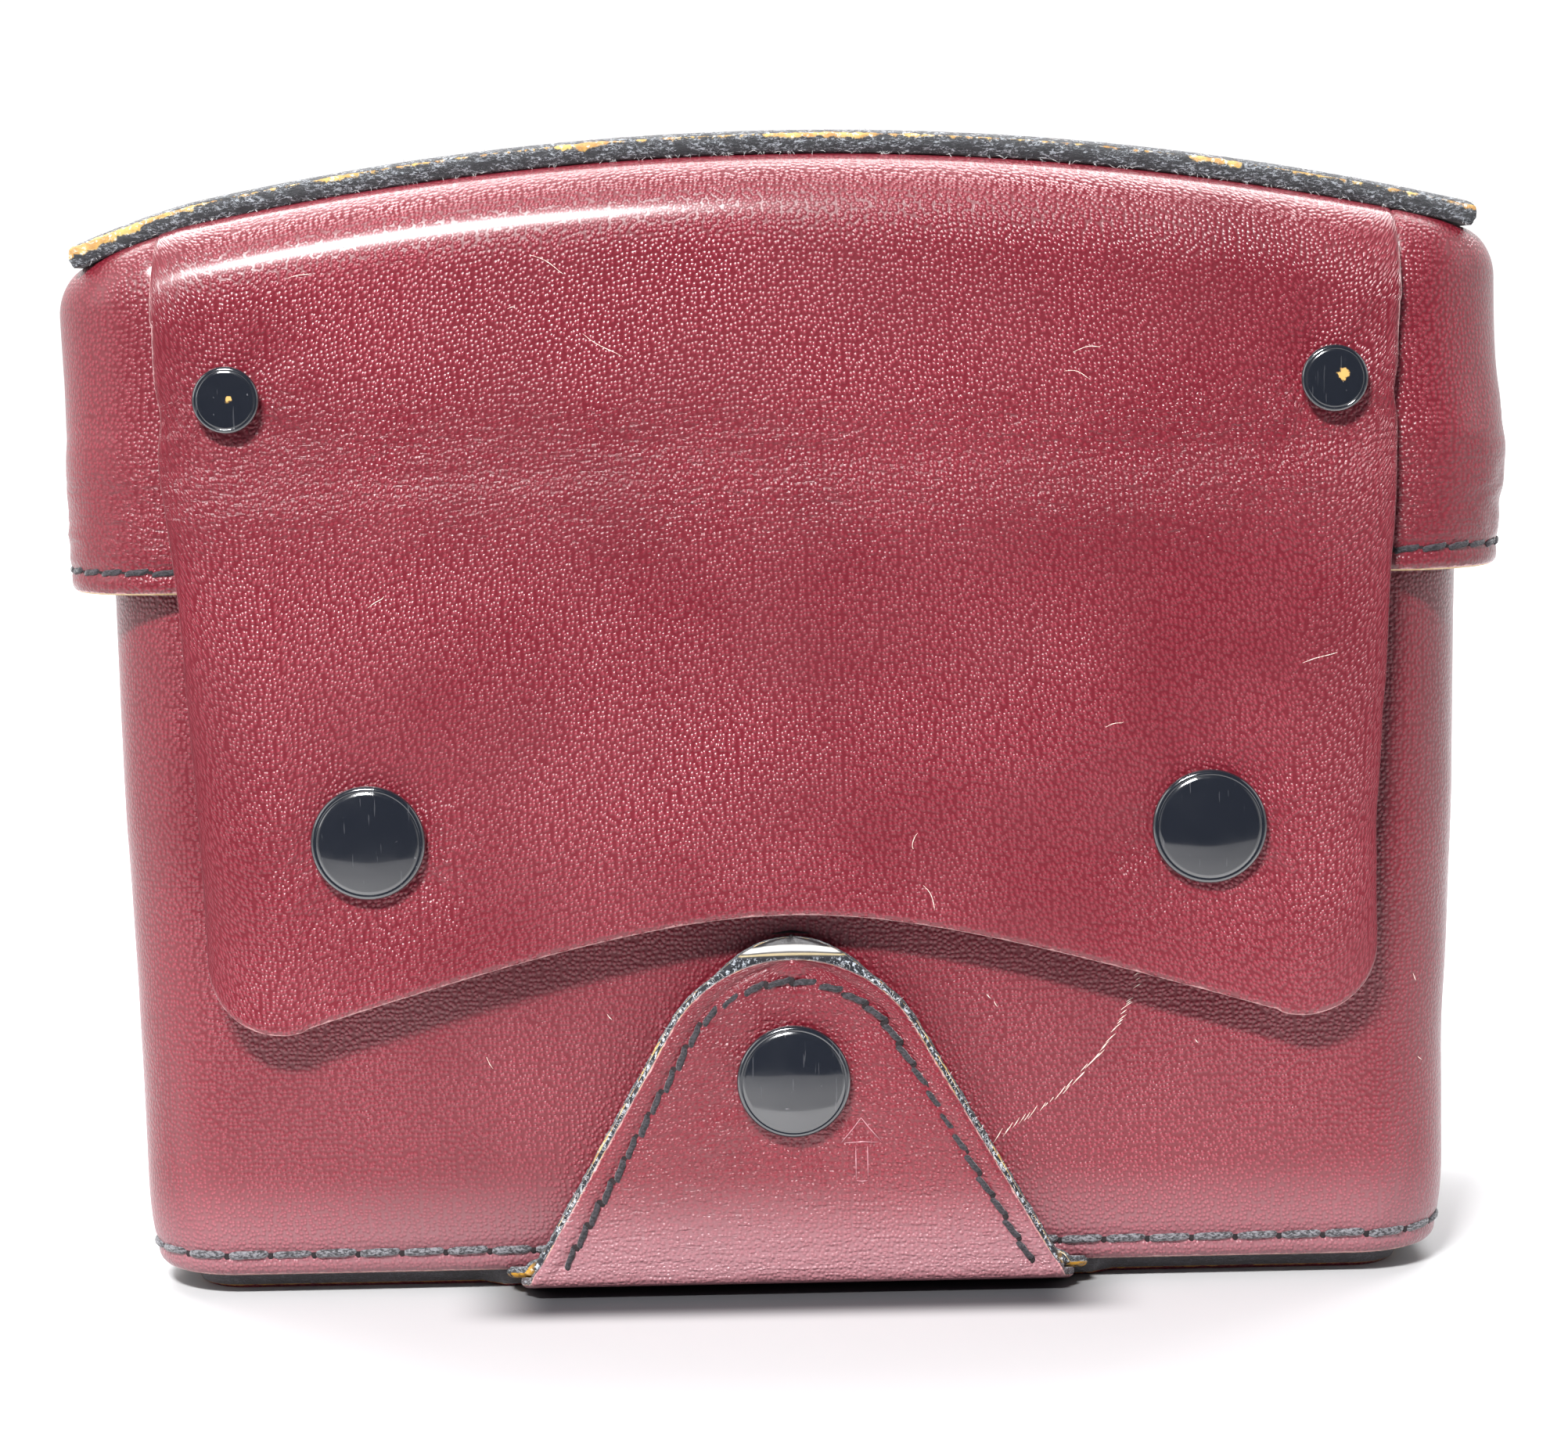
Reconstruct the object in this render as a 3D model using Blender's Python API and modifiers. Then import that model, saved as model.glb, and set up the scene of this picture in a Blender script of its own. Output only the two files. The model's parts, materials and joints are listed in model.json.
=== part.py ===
"""Leather ever ready case for a camera: sleeve, hinged lid with a snap flap, hinged base with a tongue.

Metres, +Z up, front of the case towards -Y. Origin: centre of the footprint on the surface it stands on.
"""
import math

import bmesh
import bpy
from mathutils import Vector

MM = 0.001
GAP = 0.3 * MM

# Layers from the back of the case to its front
SPINE_T = 2.5 * MM
BODY_DEPTH = 56.0 * MM
SHELL_T = 1.8 * MM
LINING_T = 0.8 * MM
SKIRT_CLEARANCE = 1.0 * MM
SKIRT_T = 1.4 * MM
FLAP_STANDOFF = 3.4 * MM
FLAP_T = 1.2 * MM
TAB_STANDOFF = 1.1 * MM
TAB_BACKING_T = 2.0 * MM
TAB_COVER_T = 1.1 * MM
CAP_HEIGHT = 2.0 * MM

OVERALL_DEPTH = SPINE_T + GAP + BODY_DEPTH + FLAP_STANDOFF + FLAP_T + GAP + CAP_HEIGHT
SPINE_BACK = OVERALL_DEPTH / 2
BODY_BACK = SPINE_BACK - SPINE_T - GAP
BODY_FRONT = BODY_BACK - BODY_DEPTH
BODY_MID = (BODY_BACK + BODY_FRONT) / 2
SKIRT_FRONT = BODY_FRONT - SKIRT_CLEARANCE - SKIRT_T
FLAP_IN = BODY_FRONT - FLAP_STANDOFF
FLAP_OUT = FLAP_IN - FLAP_T
LINING_IN = BODY_FRONT + SHELL_T + GAP + LINING_T

# Heights
BASE_T = 2.3 * MM
BODY_BOTTOM = BASE_T + GAP
BODY_TOP = 95.0 * MM
LID_HEM = 79.3 * MM
LID_TOP = 128.0 * MM
LID_HINGE_Z = 91.0 * MM
FLAP_FOLD_Z = 93.5 * MM
FLAP_ROOT_FLAT_Z = 105.0 * MM
HEM_STITCH = 2.4 * MM

# Widths, as half of each
BODY_HALF_LOW = 73.4 * MM
BODY_HALF_HIGH = 75.4 * MM
LID_HALF = 79.2 * MM
TOP_HALF = 76.0 * MM
ARCH_DROP = 9.3 * MM
BODY_CORNER = 11.0 * MM
BODY_BACK_CORNER = 5.0 * MM
LID_CORNER = 12.0 * MM
SHOULDER_H = 8.5 * MM
SHOULDER_INSET = 5.2 * MM
TOP_SETBACK = 4.6 * MM
SPINE_BEND = 7.0 * MM
LID_LINING_HALF = 68.0 * MM
BACK_PANEL_HALF_LOW = 70.5 * MM
BACK_PANEL_HALF_HIGH = 72.5 * MM

# Flap outline
FLAP_HALF_TOP = 66.5 * MM
FLAP_HALF_FOLD = 66.6 * MM
FLAP_HALF_MID = 64.6 * MM
FLAP_HALF_LOW = 63.9 * MM
FLAP_MID_Z = 66.0 * MM
FLAP_CORNER = 8.0 * MM
FLAP_CORNER_Z = 38.8 * MM
ARCH_APEX_Z = 43.0 * MM
ARCH_ROUND = 8.0 * MM
ARCH_SLOPE = 0.335

# Tongue outline
TAB_HALF_ROOT = 30.0 * MM
TAB_TOP_Z = 38.0 * MM
TAB_TOP_R = 15.4 * MM
TAB_SIDE_LEAN = math.radians(29.65)
TAB_BACKING_PROUD = 1.1 * MM
TAB_BACKING_TOP_PROUD = 2.0 * MM
TAB_STITCH_INSET = 2.5 * MM

# Base panel
BASE_HALF = 68.0 * MM
BASE_SETBACK = 6.5 * MM
BASE_TONGUE_FLARE = 3.0 * MM
BASE_CORNER = 6.0 * MM

# Fasteners
SNAP_X = 45.7 * MM
SNAP_Z = 52.0 * MM
TAB_SNAP_Z = 24.7 * MM
RIVET_X = 59.4 * MM
RIVET_Z = 100.2 * MM
SNAP_CAP_R = 6.25 * MM
RIVET_CAP_R = 3.6 * MM
STUD_HOLE_R = 1.4 * MM
BARREL_R = 1.2 * MM
BARREL_HOLE_R = 1.6 * MM
RIVET_HOLE_R = 1.3 * MM
SOCKET_R = 4.8 * MM
SOCKET_WELL_R = 5.3 * MM
THREAD_R = 0.2 * MM

PIVOTS = {}


def arch_z(x):
    """Top surface of the lid: a parabola that falls by ARCH_DROP at the panel's ends."""
    return LID_TOP - ARCH_DROP * (x / TOP_HALF) ** 2


def clear_scene():
    for obj in list(bpy.data.objects):
        bpy.data.objects.remove(obj, do_unlink=True)


def new_collection(name):
    collection = bpy.data.collections.new(name)
    bpy.context.scene.collection.children.link(collection)
    return collection


def material(name, colour, roughness, metallic):
    mat = bpy.data.materials.new(name)
    mat.use_nodes = True
    shader = mat.node_tree.nodes["Principled BSDF"]
    shader.inputs["Base Color"].default_value = (*colour, 1.0)
    shader.inputs["Roughness"].default_value = roughness
    shader.inputs["Metallic"].default_value = metallic
    mat.diffuse_color = (*colour, 1.0)
    return mat


def pivot(name, location, parent=None):
    """An empty on a joint's axis, which the moving pieces hang from."""
    empty = bpy.data.objects.new(name, None)
    empty.empty_display_size = 10 * MM
    parts.objects.link(empty)
    PIVOTS[name] = Vector(location)
    empty.location = PIVOTS[name]
    if parent:
        empty.parent = bpy.data.objects[parent]
        empty.location = PIVOTS[name] - PIVOTS[parent]
    return empty


def place(obj, location, parent, mat):
    """Puts an object at a world location, under a joint's empty if it moves."""
    obj.location = Vector(location)
    if parent:
        obj.parent = bpy.data.objects[parent]
        obj.location = Vector(location) - PIVOTS[parent]
    obj.data.materials.clear()
    obj.data.materials.append(mat)
    parts.objects.link(obj)
    return obj


def smooth(mesh):
    mesh.shade_smooth()
    mesh.set_sharp_from_angle(angle=math.radians(40))


def plan_outline(half_width, front, back, radius, steps=7, open_back=False, back_radius=None):
    """Rounded rectangle in plan, from the back right corner round the front to the back left."""
    rear = back_radius or radius
    corners = [
        (half_width - rear, back - rear, 90, rear),
        (half_width - radius, front + radius, 0, radius),
        (radius - half_width, front + radius, -90, radius),
        (rear - half_width, back - rear, -180, rear),
    ]
    if open_back:
        corners = corners[1:3]
    points = []
    for centre_x, centre_y, start, radius in corners:
        for step in range(steps):
            angle = math.radians(start - 90 * step / (steps - 1))
            points.append((centre_x + radius * math.cos(angle), centre_y + radius * math.sin(angle)))
    if open_back:
        points.insert(0, (half_width, back))
        points.append((-half_width, back))
    return points


def sheet(name, rows, thickness, mat, parent=None, closed=False):
    """An open surface through rows of points, thickened inwards by Solidify."""
    bm = bmesh.new()
    grid = [[bm.verts.new(point) for point in row] for row in rows]
    for lower, upper in zip(grid, grid[1:]):
        count = len(lower) if closed else len(lower) - 1
        for i in range(count):
            j = (i + 1) % len(lower)
            bm.faces.new((lower[j], lower[i], upper[i], upper[j]))
    mesh = bpy.data.meshes.new(name)
    bm.to_mesh(mesh)
    bm.free()
    smooth(mesh)
    obj = bpy.data.objects.new(name, mesh)
    solidify = obj.modifiers.new("thickness", 'SOLIDIFY')
    solidify.thickness = thickness
    solidify.offset = -1
    solidify.use_even_offset = True
    return place(obj, (0, 0, 0), parent, mat)


def hole_cutter(name, radius, x, z, front, back):
    """A round punch along Y."""
    bpy.ops.mesh.primitive_cylinder_add(vertices=16, radius=radius, depth=back - front,
                                        location=(x, (front + back) / 2, z),
                                        rotation=(math.pi / 2, 0, 0))
    obj = bpy.context.object
    obj.name = name
    for owner in list(obj.users_collection):
        owner.objects.unlink(obj)
    cutters.objects.link(obj)
    obj.hide_render = True
    obj.display_type = 'WIRE'
    return obj


def punch(obj, cutter):
    boolean = obj.modifiers.new("hole_" + cutter.name, 'BOOLEAN')
    boolean.operation = 'DIFFERENCE'
    boolean.solver = 'EXACT'
    boolean.object = cutter


def turned(name, profile, x, y, z, mat, parent=None, steps=24, closed=False):
    """A turned piece whose axis points to the front; profile holds (radius, height) in mm."""
    bm = bmesh.new()
    verts = [bm.verts.new((radius * MM, 0, height * MM)) for radius, height in profile]
    for first, second in zip(verts, verts[1:]):
        bm.edges.new((first, second))
    if closed:
        bm.edges.new((verts[-1], verts[0]))
    mesh = bpy.data.meshes.new(name)
    bm.to_mesh(mesh)
    bm.free()
    obj = bpy.data.objects.new(name, mesh)
    screw = obj.modifiers.new("turn", 'SCREW')
    screw.steps = steps
    screw.render_steps = steps
    screw.use_merge_vertices = True
    screw.merge_threshold = 0.00001
    screw.use_smooth_shade = True
    obj.rotation_euler = (math.pi / 2, 0, 0)
    return place(obj, (x, y, z), parent, mat)


def outline_plate(name, outline, holes, thickness, mat, location, upright, parent=None):
    """A flat plate cut from leather: a filled 2D outline with round holes, extruded."""
    curve = bpy.data.curves.new(name, 'CURVE')
    curve.dimensions = '2D'
    curve.fill_mode = 'BOTH'
    curve.extrude = thickness / 2
    rings = [outline]
    for centre_x, centre_v, radius in holes:
        turns = [math.tau * i / 16 for i in range(16)]
        rings.append([(centre_x + radius * math.cos(a), centre_v + radius * math.sin(a)) for a in turns])
    for ring in rings:
        spline = curve.splines.new('POLY')
        spline.points.add(len(ring) - 1)
        for point, (u, v) in zip(spline.points, ring):
            point.co = (u, v, 0, 1)
        spline.use_cyclic_u = True
    obj = bpy.data.objects.new(name, curve)
    if upright:
        obj.rotation_euler = (math.pi / 2, 0, 0)
    return place(obj, location, parent, mat)


def thread(name, route, mat, parent=None):
    """A seam's thread: a thin round strand through the route's points."""
    curve = bpy.data.curves.new(name, 'CURVE')
    curve.dimensions = '3D'
    curve.bevel_depth = THREAD_R
    curve.bevel_resolution = 1
    curve.use_fill_caps = True
    spline = curve.splines.new('POLY')
    spline.points.add(len(route) - 1)
    for point, co in zip(spline.points, route):
        point.co = (*co, 1)
    obj = bpy.data.objects.new(name, curve)
    return place(obj, (0, 0, 0), parent, mat)


def mirrored(points):
    """A right half-outline, from the centre line outwards, closed by its mirror image."""
    return points + [(-x, z) for x, z in reversed(points) if x > 1e-9]


# ---------------------------------------------------------------- body

def body_half_width(z):
    share = (z - BODY_BOTTOM) / (BODY_TOP - BODY_BOTTOM)
    return BODY_HALF_LOW + (BODY_HALF_HIGH - BODY_HALF_LOW) * share


def body_rows(inset, bottom, top, levels=4):
    rows = []
    for level in range(levels):
        z = bottom + (top - bottom) * level / (levels - 1)
        outline = plan_outline(body_half_width(z) - inset, BODY_FRONT + inset, BODY_BACK - inset,
                               BODY_CORNER - inset, back_radius=BODY_BACK_CORNER - inset)
        rows.append([(x, y, z) for x, y in outline])
    return rows


def build_body(leather, spine, lining, nickel, thread_mat):
    shell = sheet("body_shell", body_rows(0, BODY_BOTTOM, BODY_TOP), SHELL_T, leather, closed=True)
    liner = sheet("body_lining", body_rows(SHELL_T + GAP, BODY_BOTTOM + 1.5 * MM, BODY_TOP - 1.0 * MM),
                  LINING_T, lining, closed=True)
    positions = {"left": (-SNAP_X, SNAP_Z), "right": (SNAP_X, SNAP_Z), "tab": (0, TAB_SNAP_Z)}
    for side, (x, z) in positions.items():
        cutter = hole_cutter("stud_hole_" + side, STUD_HOLE_R, x, z,
                             BODY_FRONT - 2 * MM, LINING_IN + 2 * MM)
        punch(shell, cutter)
        punch(liner, cutter)
        stud_profile = [(0, 2.1), (1.4, 2.1), (2.1, 1.6), (2.1, 1.1), (1.7, 0.8), (1.7, 0.6), (4.4, 0.5),
                        (4.4, 0), (1.3, 0), (1.3, 1.5), (0, 1.5)]
        turned("snap_stud_" + side, stud_profile, x, BODY_FRONT - GAP, z, nickel)
        post_foot = LINING_IN + GAP + 0.6 * MM
        shank = (post_foot - BODY_FRONT + GAP) / MM + 1.2
        post_profile = [(0, shank), (1.0, shank), (1.0, 0.6), (4.3, 0.6), (4.5, 0.3), (4.3, 0), (0, 0)]
        turned("stud_post_" + side, post_profile, x, post_foot, z, nickel)
    panel_height = LID_HINGE_Z - GAP - BODY_BOTTOM - GAP
    panel = [(-BACK_PANEL_HALF_LOW, -panel_height / 2), (BACK_PANEL_HALF_LOW, -panel_height / 2),
             (BACK_PANEL_HALF_HIGH, panel_height / 2), (-BACK_PANEL_HALF_HIGH, panel_height / 2)]
    outline_plate("back_panel", panel, [], SPINE_T, spine,
                  (0, SPINE_BACK - SPINE_T / 2, BODY_BOTTOM + GAP + panel_height / 2), upright=True)
    stitch_z = BODY_BOTTOM + HEM_STITCH
    offset = GAP + THREAD_R
    outline = plan_outline(body_half_width(stitch_z) + offset, BODY_FRONT - offset, BODY_BACK - 6 * MM,
                           BODY_CORNER + offset, open_back=True)
    thread("body_hem_thread", [(x, y, stitch_z) for x, y in outline], thread_mat)


# ---------------------------------------------------------------- lid

def build_lid(leather, spine, lining, enamel, nickel, thread_mat):
    columns = 17
    top_front = SKIRT_FRONT + TOP_SETBACK
    rows = []
    path = [(y, 0.0, TOP_HALF) for y in (top_front, BODY_MID, SPINE_BACK - SPINE_BEND)]
    bend_steps = 5
    for step in range(1, bend_steps + 1):
        angle = math.radians(90 * step / bend_steps)
        path.append((SPINE_BACK - SPINE_BEND * (1 - math.sin(angle)), SPINE_BEND * (1 - math.cos(angle)),
                     TOP_HALF + (LID_HALF - TOP_HALF) * step / bend_steps))
    for y, drop, half in path:
        rows.append([(x, y, arch_z(x) - drop) for x in panel_columns(columns, half)])
    rows.append([(x, SPINE_BACK, LID_HINGE_Z + GAP) for x in panel_columns(columns, LID_HALF)])
    sheet("top_panel", rows, SPINE_T, spine, "lid_hinge")

    skirt = sheet("lid_skirt", skirt_rows(), SKIRT_T, leather, "lid_hinge")
    for side, x in (("left", -RIVET_X), ("right", RIVET_X)):
        cutter = hole_cutter("rivet_hole_" + side, RIVET_HOLE_R, x, RIVET_Z,
                             FLAP_OUT - 2 * MM, BODY_FRONT + 2 * MM)
        punch(skirt, cutter)
        cap_profile = [(0, 1.7), (1.6, 1.6), (2.8, 1.2), (3.5, 0.6), (RIVET_CAP_R / MM, 0.2), (3.4, 0),
                       (1.25, 0), (1.25, 0.9), (0, 0.9)]
        turned("rivet_cap_" + side, cap_profile, x, FLAP_OUT - GAP, RIVET_Z, enamel, "lid_hinge")
        foot = BODY_FRONT - SKIRT_CLEARANCE + GAP + 0.5 * MM
        shank = (foot - FLAP_OUT) / MM + 0.9
        post_profile = [(0, shank), (0.9, shank), (0.9, 0.5), (3.2, 0.5), (3.4, 0.25), (3.2, 0), (0, 0)]
        turned("rivet_post_" + side, post_profile, x, foot, RIVET_Z, nickel, "lid_hinge")

    ceiling_rows = []
    for y in (top_front + 4 * MM, BODY_MID, BODY_BACK - 6 * MM):
        row_x = panel_columns(columns, LID_LINING_HALF)
        ceiling_rows.append([(x, y, arch_z(x) - SPINE_T - GAP) for x in row_x])
    sheet("lid_lining", ceiling_rows, LINING_T, lining, "lid_hinge")

    root_rows = []
    for z, y, half in flap_root_profile():
        root_rows.append([(x, y, z - root_top_drop(x, z)) for x in panel_columns(columns, half)])
    root = sheet("flap_root", root_rows, FLAP_T, leather, "lid_hinge")
    for side in ("left", "right"):
        punch(root, bpy.data.objects["rivet_hole_" + side])

    stitch_z = LID_HEM + HEM_STITCH
    offset = GAP + THREAD_R
    outline = plan_outline(LID_HALF + offset, SKIRT_FRONT - offset, BODY_BACK - 3 * MM,
                           LID_CORNER + offset, open_back=True)
    thread("lid_hem_thread", [(x, y, stitch_z) for x, y in outline], thread_mat, "lid_hinge")


def panel_columns(count, half_width):
    """Evenly spaced stations across the width, from right to left."""
    return [half_width - 2 * half_width * i / (count - 1) for i in range(count)]


def skirt_rows():
    """Front and side wall of the lid: upright, then rounded in under the top panel."""
    base = plan_outline(LID_HALF, SKIRT_FRONT, BODY_BACK - 0.5 * MM, LID_CORNER, open_back=True)
    fine = []
    for (x0, y0), (x1, y1) in zip(base, base[1:]):
        pieces = 10 if abs(x1 - x0) + abs(y1 - y0) > 30 * MM else 1
        for i in range(pieces):
            fine.append((x0 + (x1 - x0) * i / pieces, y0 + (y1 - y0) * i / pieces))
    fine.append(base[-1])
    rows = []
    for height_share, turn in ((0, 0), (0.5, 0), (1, 0), (1, 30), (1, 55), (1, 75), (1, 90)):
        row = []
        for x, y in fine:
            shrink = SHOULDER_INSET * (1 - math.cos(math.radians(turn)))
            inner_x = x - math.copysign(shrink, x) * min(1, abs(x) / (LID_HALF - LID_CORNER)) ** 4
            inner_y = y + shrink * shoulder_front_share(y)
            top = arch_z(inner_x) - spine_under_drop(inner_y) - FLAP_T - 3 * GAP
            shoulder = top - SHOULDER_H
            z = LID_HEM + (shoulder - LID_HEM) * height_share
            z += SHOULDER_H * math.sin(math.radians(turn))
            row.append((inner_x, inner_y, z))
        rows.append(row)
    return rows


def spine_under_drop(y):
    """Depth of the top panel's inner face below its outer crown, growing round the bend at the back."""
    past_bend = y - (SPINE_BACK - SPINE_BEND)
    if past_bend <= 0:
        return SPINE_T
    return SPINE_BEND - math.sqrt((SPINE_BEND - SPINE_T) ** 2 - past_bend ** 2)


def shoulder_front_share(y):
    """1 on the front wall, falling to 0 along the side walls."""
    return max(0.0, min(1.0, (SKIRT_FRONT + LID_CORNER - y) / LID_CORNER))


def flap_root_profile():
    """Upper part of the front flap, from its fold over the shoulder to its tuck under the top panel."""
    profile = [(FLAP_FOLD_Z + GAP, FLAP_OUT, FLAP_HALF_FOLD), (FLAP_ROOT_FLAT_Z, FLAP_OUT, FLAP_HALF_TOP)]
    tuck_y = SKIRT_FRONT + SHOULDER_INSET
    height = SHOULDER_H + GAP + FLAP_T
    shoulder = LID_TOP - SPINE_T - 2 * GAP - height
    for turn in (0, 18, 36, 54, 72, 90):
        angle = math.radians(turn)
        profile.append((shoulder + height * math.sin(angle), tuck_y + (FLAP_OUT - tuck_y) * math.cos(angle),
                        FLAP_HALF_TOP))
    profile.append((shoulder + height, tuck_y + 1.5 * MM, FLAP_HALF_TOP))
    return profile


def root_top_drop(x, z):
    """How far the arch has fallen at x, applied in full at the flap's upper edge only."""
    shoulder = LID_TOP - SPINE_T - 3 * GAP - FLAP_T - SHOULDER_H
    share = max(0.0, (z - FLAP_ROOT_FLAT_Z) / (shoulder - FLAP_ROOT_FLAT_Z))
    return (LID_TOP - arch_z(x)) * min(1.0, share)


# ---------------------------------------------------------------- flap

def flap_outline():
    """Right half of the flap from the arch's apex to the fold, then its mirror image."""
    half = []
    arch_steps = 9
    join_x = FLAP_HALF_LOW - FLAP_CORNER - FLAP_CORNER * math.sin(math.radians(16.6))
    for step in range(arch_steps + 1):
        x = join_x * step / arch_steps
        half.append((x, ARCH_APEX_Z + ARCH_ROUND - math.hypot(ARCH_ROUND, ARCH_SLOPE * x)))
    corner_steps = 8
    for step in range(1, corner_steps + 1):
        angle = math.radians(-106.6 + 106.6 * step / corner_steps)
        half.append((FLAP_HALF_LOW - FLAP_CORNER + FLAP_CORNER * math.cos(angle),
                     FLAP_CORNER_Z + FLAP_CORNER * math.sin(angle)))
    half.append((FLAP_HALF_MID, FLAP_MID_Z))
    half.append((FLAP_HALF_FOLD, FLAP_FOLD_Z - GAP))
    return mirrored(half)


def cap_profile_large(barrel):
    rim = SNAP_CAP_R / MM
    return [(0, 2.0), (2.2, 1.93), (4.0, 1.65), (5.3, 1.2), (6.05, 0.7), (rim, 0.35), (6.1, 0),
            (BARREL_R / MM, 0), (BARREL_R / MM, -barrel), (0, -barrel)]


def build_snap_top(side, x, z, enamel, nickel, parent):
    barrel = (FLAP_T + GAP) / MM + 0.65
    turned("snap_cap_" + side, cap_profile_large(barrel), x, FLAP_OUT - GAP, z, enamel, parent, steps=32)
    socket = [(1.5, 1.9), (4.4, 1.9), (SOCKET_R / MM, 1.5), (SOCKET_R / MM, 0.9), (3.4, 0), (2.4, 0),
              (2.4, 1.5), (1.5, 1.5)]
    turned("snap_socket_" + side, socket, x, FLAP_IN + GAP + 1.9 * MM, z, nickel, parent, closed=True)


def build_flap(leather, enamel, nickel):
    holes = [(x, SNAP_Z, BARREL_HOLE_R) for x in (-SNAP_X, SNAP_X)]
    outline_plate("front_flap", flap_outline(), holes, FLAP_T, leather, (0, FLAP_IN - FLAP_T / 2, 0),
                  upright=True, parent="flap_fold")
    for side, x in (("left", -SNAP_X), ("right", SNAP_X)):
        build_snap_top(side, x, SNAP_Z, enamel, nickel, "flap_fold")


# ---------------------------------------------------------------- base and tongue

def tab_outline(proud, top_proud, root_z):
    """Rounded triangle: straight leaning sides with a round top."""
    radius = TAB_TOP_R + proud
    centre_z = TAB_TOP_Z + top_proud - radius
    half = []
    steps = 8
    for step in range(steps + 1):
        angle = math.radians(90) + (TAB_SIDE_LEAN - math.radians(90)) * step / steps
        half.append((radius * math.cos(angle), centre_z + radius * math.sin(angle)))
    last_x, last_z = half[-1]
    half.append((last_x + (last_z - root_z) * math.tan(TAB_SIDE_LEAN), root_z))
    return mirrored(half)


def build_base(spine, lining):
    front = BODY_FRONT + BASE_SETBACK
    tongue_front = BODY_FRONT - TAB_STANDOFF + GAP
    back = SPINE_BACK - GAP
    half = [(0, tongue_front), (TAB_HALF_ROOT, tongue_front)]
    flare_steps = 4
    for step in range(1, flare_steps + 1):
        angle = math.radians(90 * step / flare_steps)
        half.append((TAB_HALF_ROOT + BASE_TONGUE_FLARE * (1 - math.cos(angle)),
                     front - (front - tongue_front) * (1 - math.sin(angle))))
    for centre_y, start in ((front + BASE_CORNER, -90), (back - BASE_CORNER, 0)):
        for step in range(5):
            angle = math.radians(start + 90 * step / 4)
            half.append((BASE_HALF - BASE_CORNER + BASE_CORNER * math.cos(angle),
                         centre_y + BASE_CORNER * math.sin(angle)))
    half.append((0, back))
    outline_plate("base_panel", mirrored(half), [], BASE_T, spine, (0, 0, BASE_T / 2),
                  upright=False, parent="base_hinge")
    inset = SHELL_T + GAP + LINING_T + GAP
    pad = plan_outline(BODY_HALF_LOW - inset, BODY_FRONT + inset, BODY_BACK - inset, BODY_CORNER - inset)
    outline_plate("base_lining", pad, [], LINING_T, lining, (0, 0, BASE_T + GAP + LINING_T / 2),
                  upright=False, parent="base_hinge")


def build_tab(leather, spine, enamel, nickel, thread_mat):
    root_z = BASE_T + 2 * GAP
    backing_y = BODY_FRONT - TAB_STANDOFF - TAB_BACKING_T / 2
    outline_plate("tab_backing", tab_outline(TAB_BACKING_PROUD, TAB_BACKING_TOP_PROUD, root_z),
                  [(0, TAB_SNAP_Z, SOCKET_WELL_R)], TAB_BACKING_T, spine, (0, backing_y, 0),
                  upright=True, parent="tab_fold")
    outline_plate("tab_cover", tab_outline(0, 0, root_z), [(0, TAB_SNAP_Z, BARREL_HOLE_R)],
                  TAB_COVER_T, leather, (0, FLAP_IN - TAB_COVER_T / 2, 0), upright=True, parent="tab_fold")
    build_snap_top("tab", 0, TAB_SNAP_Z, enamel, nickel, "tab_fold")
    seam = tab_outline(-TAB_STITCH_INSET, -TAB_STITCH_INSET, root_z + 1 * MM)
    half_count = (len(seam) + 1) // 2
    route = seam[half_count:] + seam[:half_count]
    y = FLAP_IN - TAB_COVER_T - GAP - THREAD_R
    thread("tab_thread", [(x, y, z) for x, z in route], thread_mat, "tab_fold")


# ---------------------------------------------------------------- assembly

clear_scene()
parts = new_collection("leather_ever_ready_case")
cutters = new_collection("cutters")

burgundy = material("burgundy_leather", (0.25, 0.030, 0.045), 0.45, 0.0)
spine_leather = material("spine_leather", (0.16, 0.022, 0.032), 0.55, 0.0)
lining_cloth = material("lining_cloth", (0.035, 0.033, 0.035), 0.9, 0.0)
black_enamel = material("black_enamel", (0.012, 0.013, 0.018), 0.12, 0.0)
nickel_plate = material("nickel_plate", (0.62, 0.58, 0.50), 0.3, 1.0)
seam_thread = material("seam_thread", (0.05, 0.05, 0.06), 0.8, 0.0)

pivot("lid_hinge", (0, SPINE_BACK, LID_HINGE_Z))
pivot("flap_fold", (0, FLAP_OUT, FLAP_FOLD_Z), "lid_hinge")
pivot("base_hinge", (0, SPINE_BACK, BASE_T + GAP / 2))
pivot("tab_fold", (0, BODY_FRONT - TAB_STANDOFF, BASE_T + GAP / 2), "base_hinge")

build_body(burgundy, spine_leather, lining_cloth, nickel_plate, seam_thread)
build_lid(burgundy, spine_leather, lining_cloth, black_enamel, nickel_plate, seam_thread)
build_flap(burgundy, black_enamel, nickel_plate)
build_base(spine_leather, lining_cloth)
build_tab(burgundy, spine_leather, black_enamel, nickel_plate, seam_thread)
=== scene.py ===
"""Looks of the leather ever ready case: leather pieces, seams, snap caps, floor, lights and camera."""
import json
import math

import bpy
import numpy as np
from mathutils import Matrix, Vector


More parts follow.
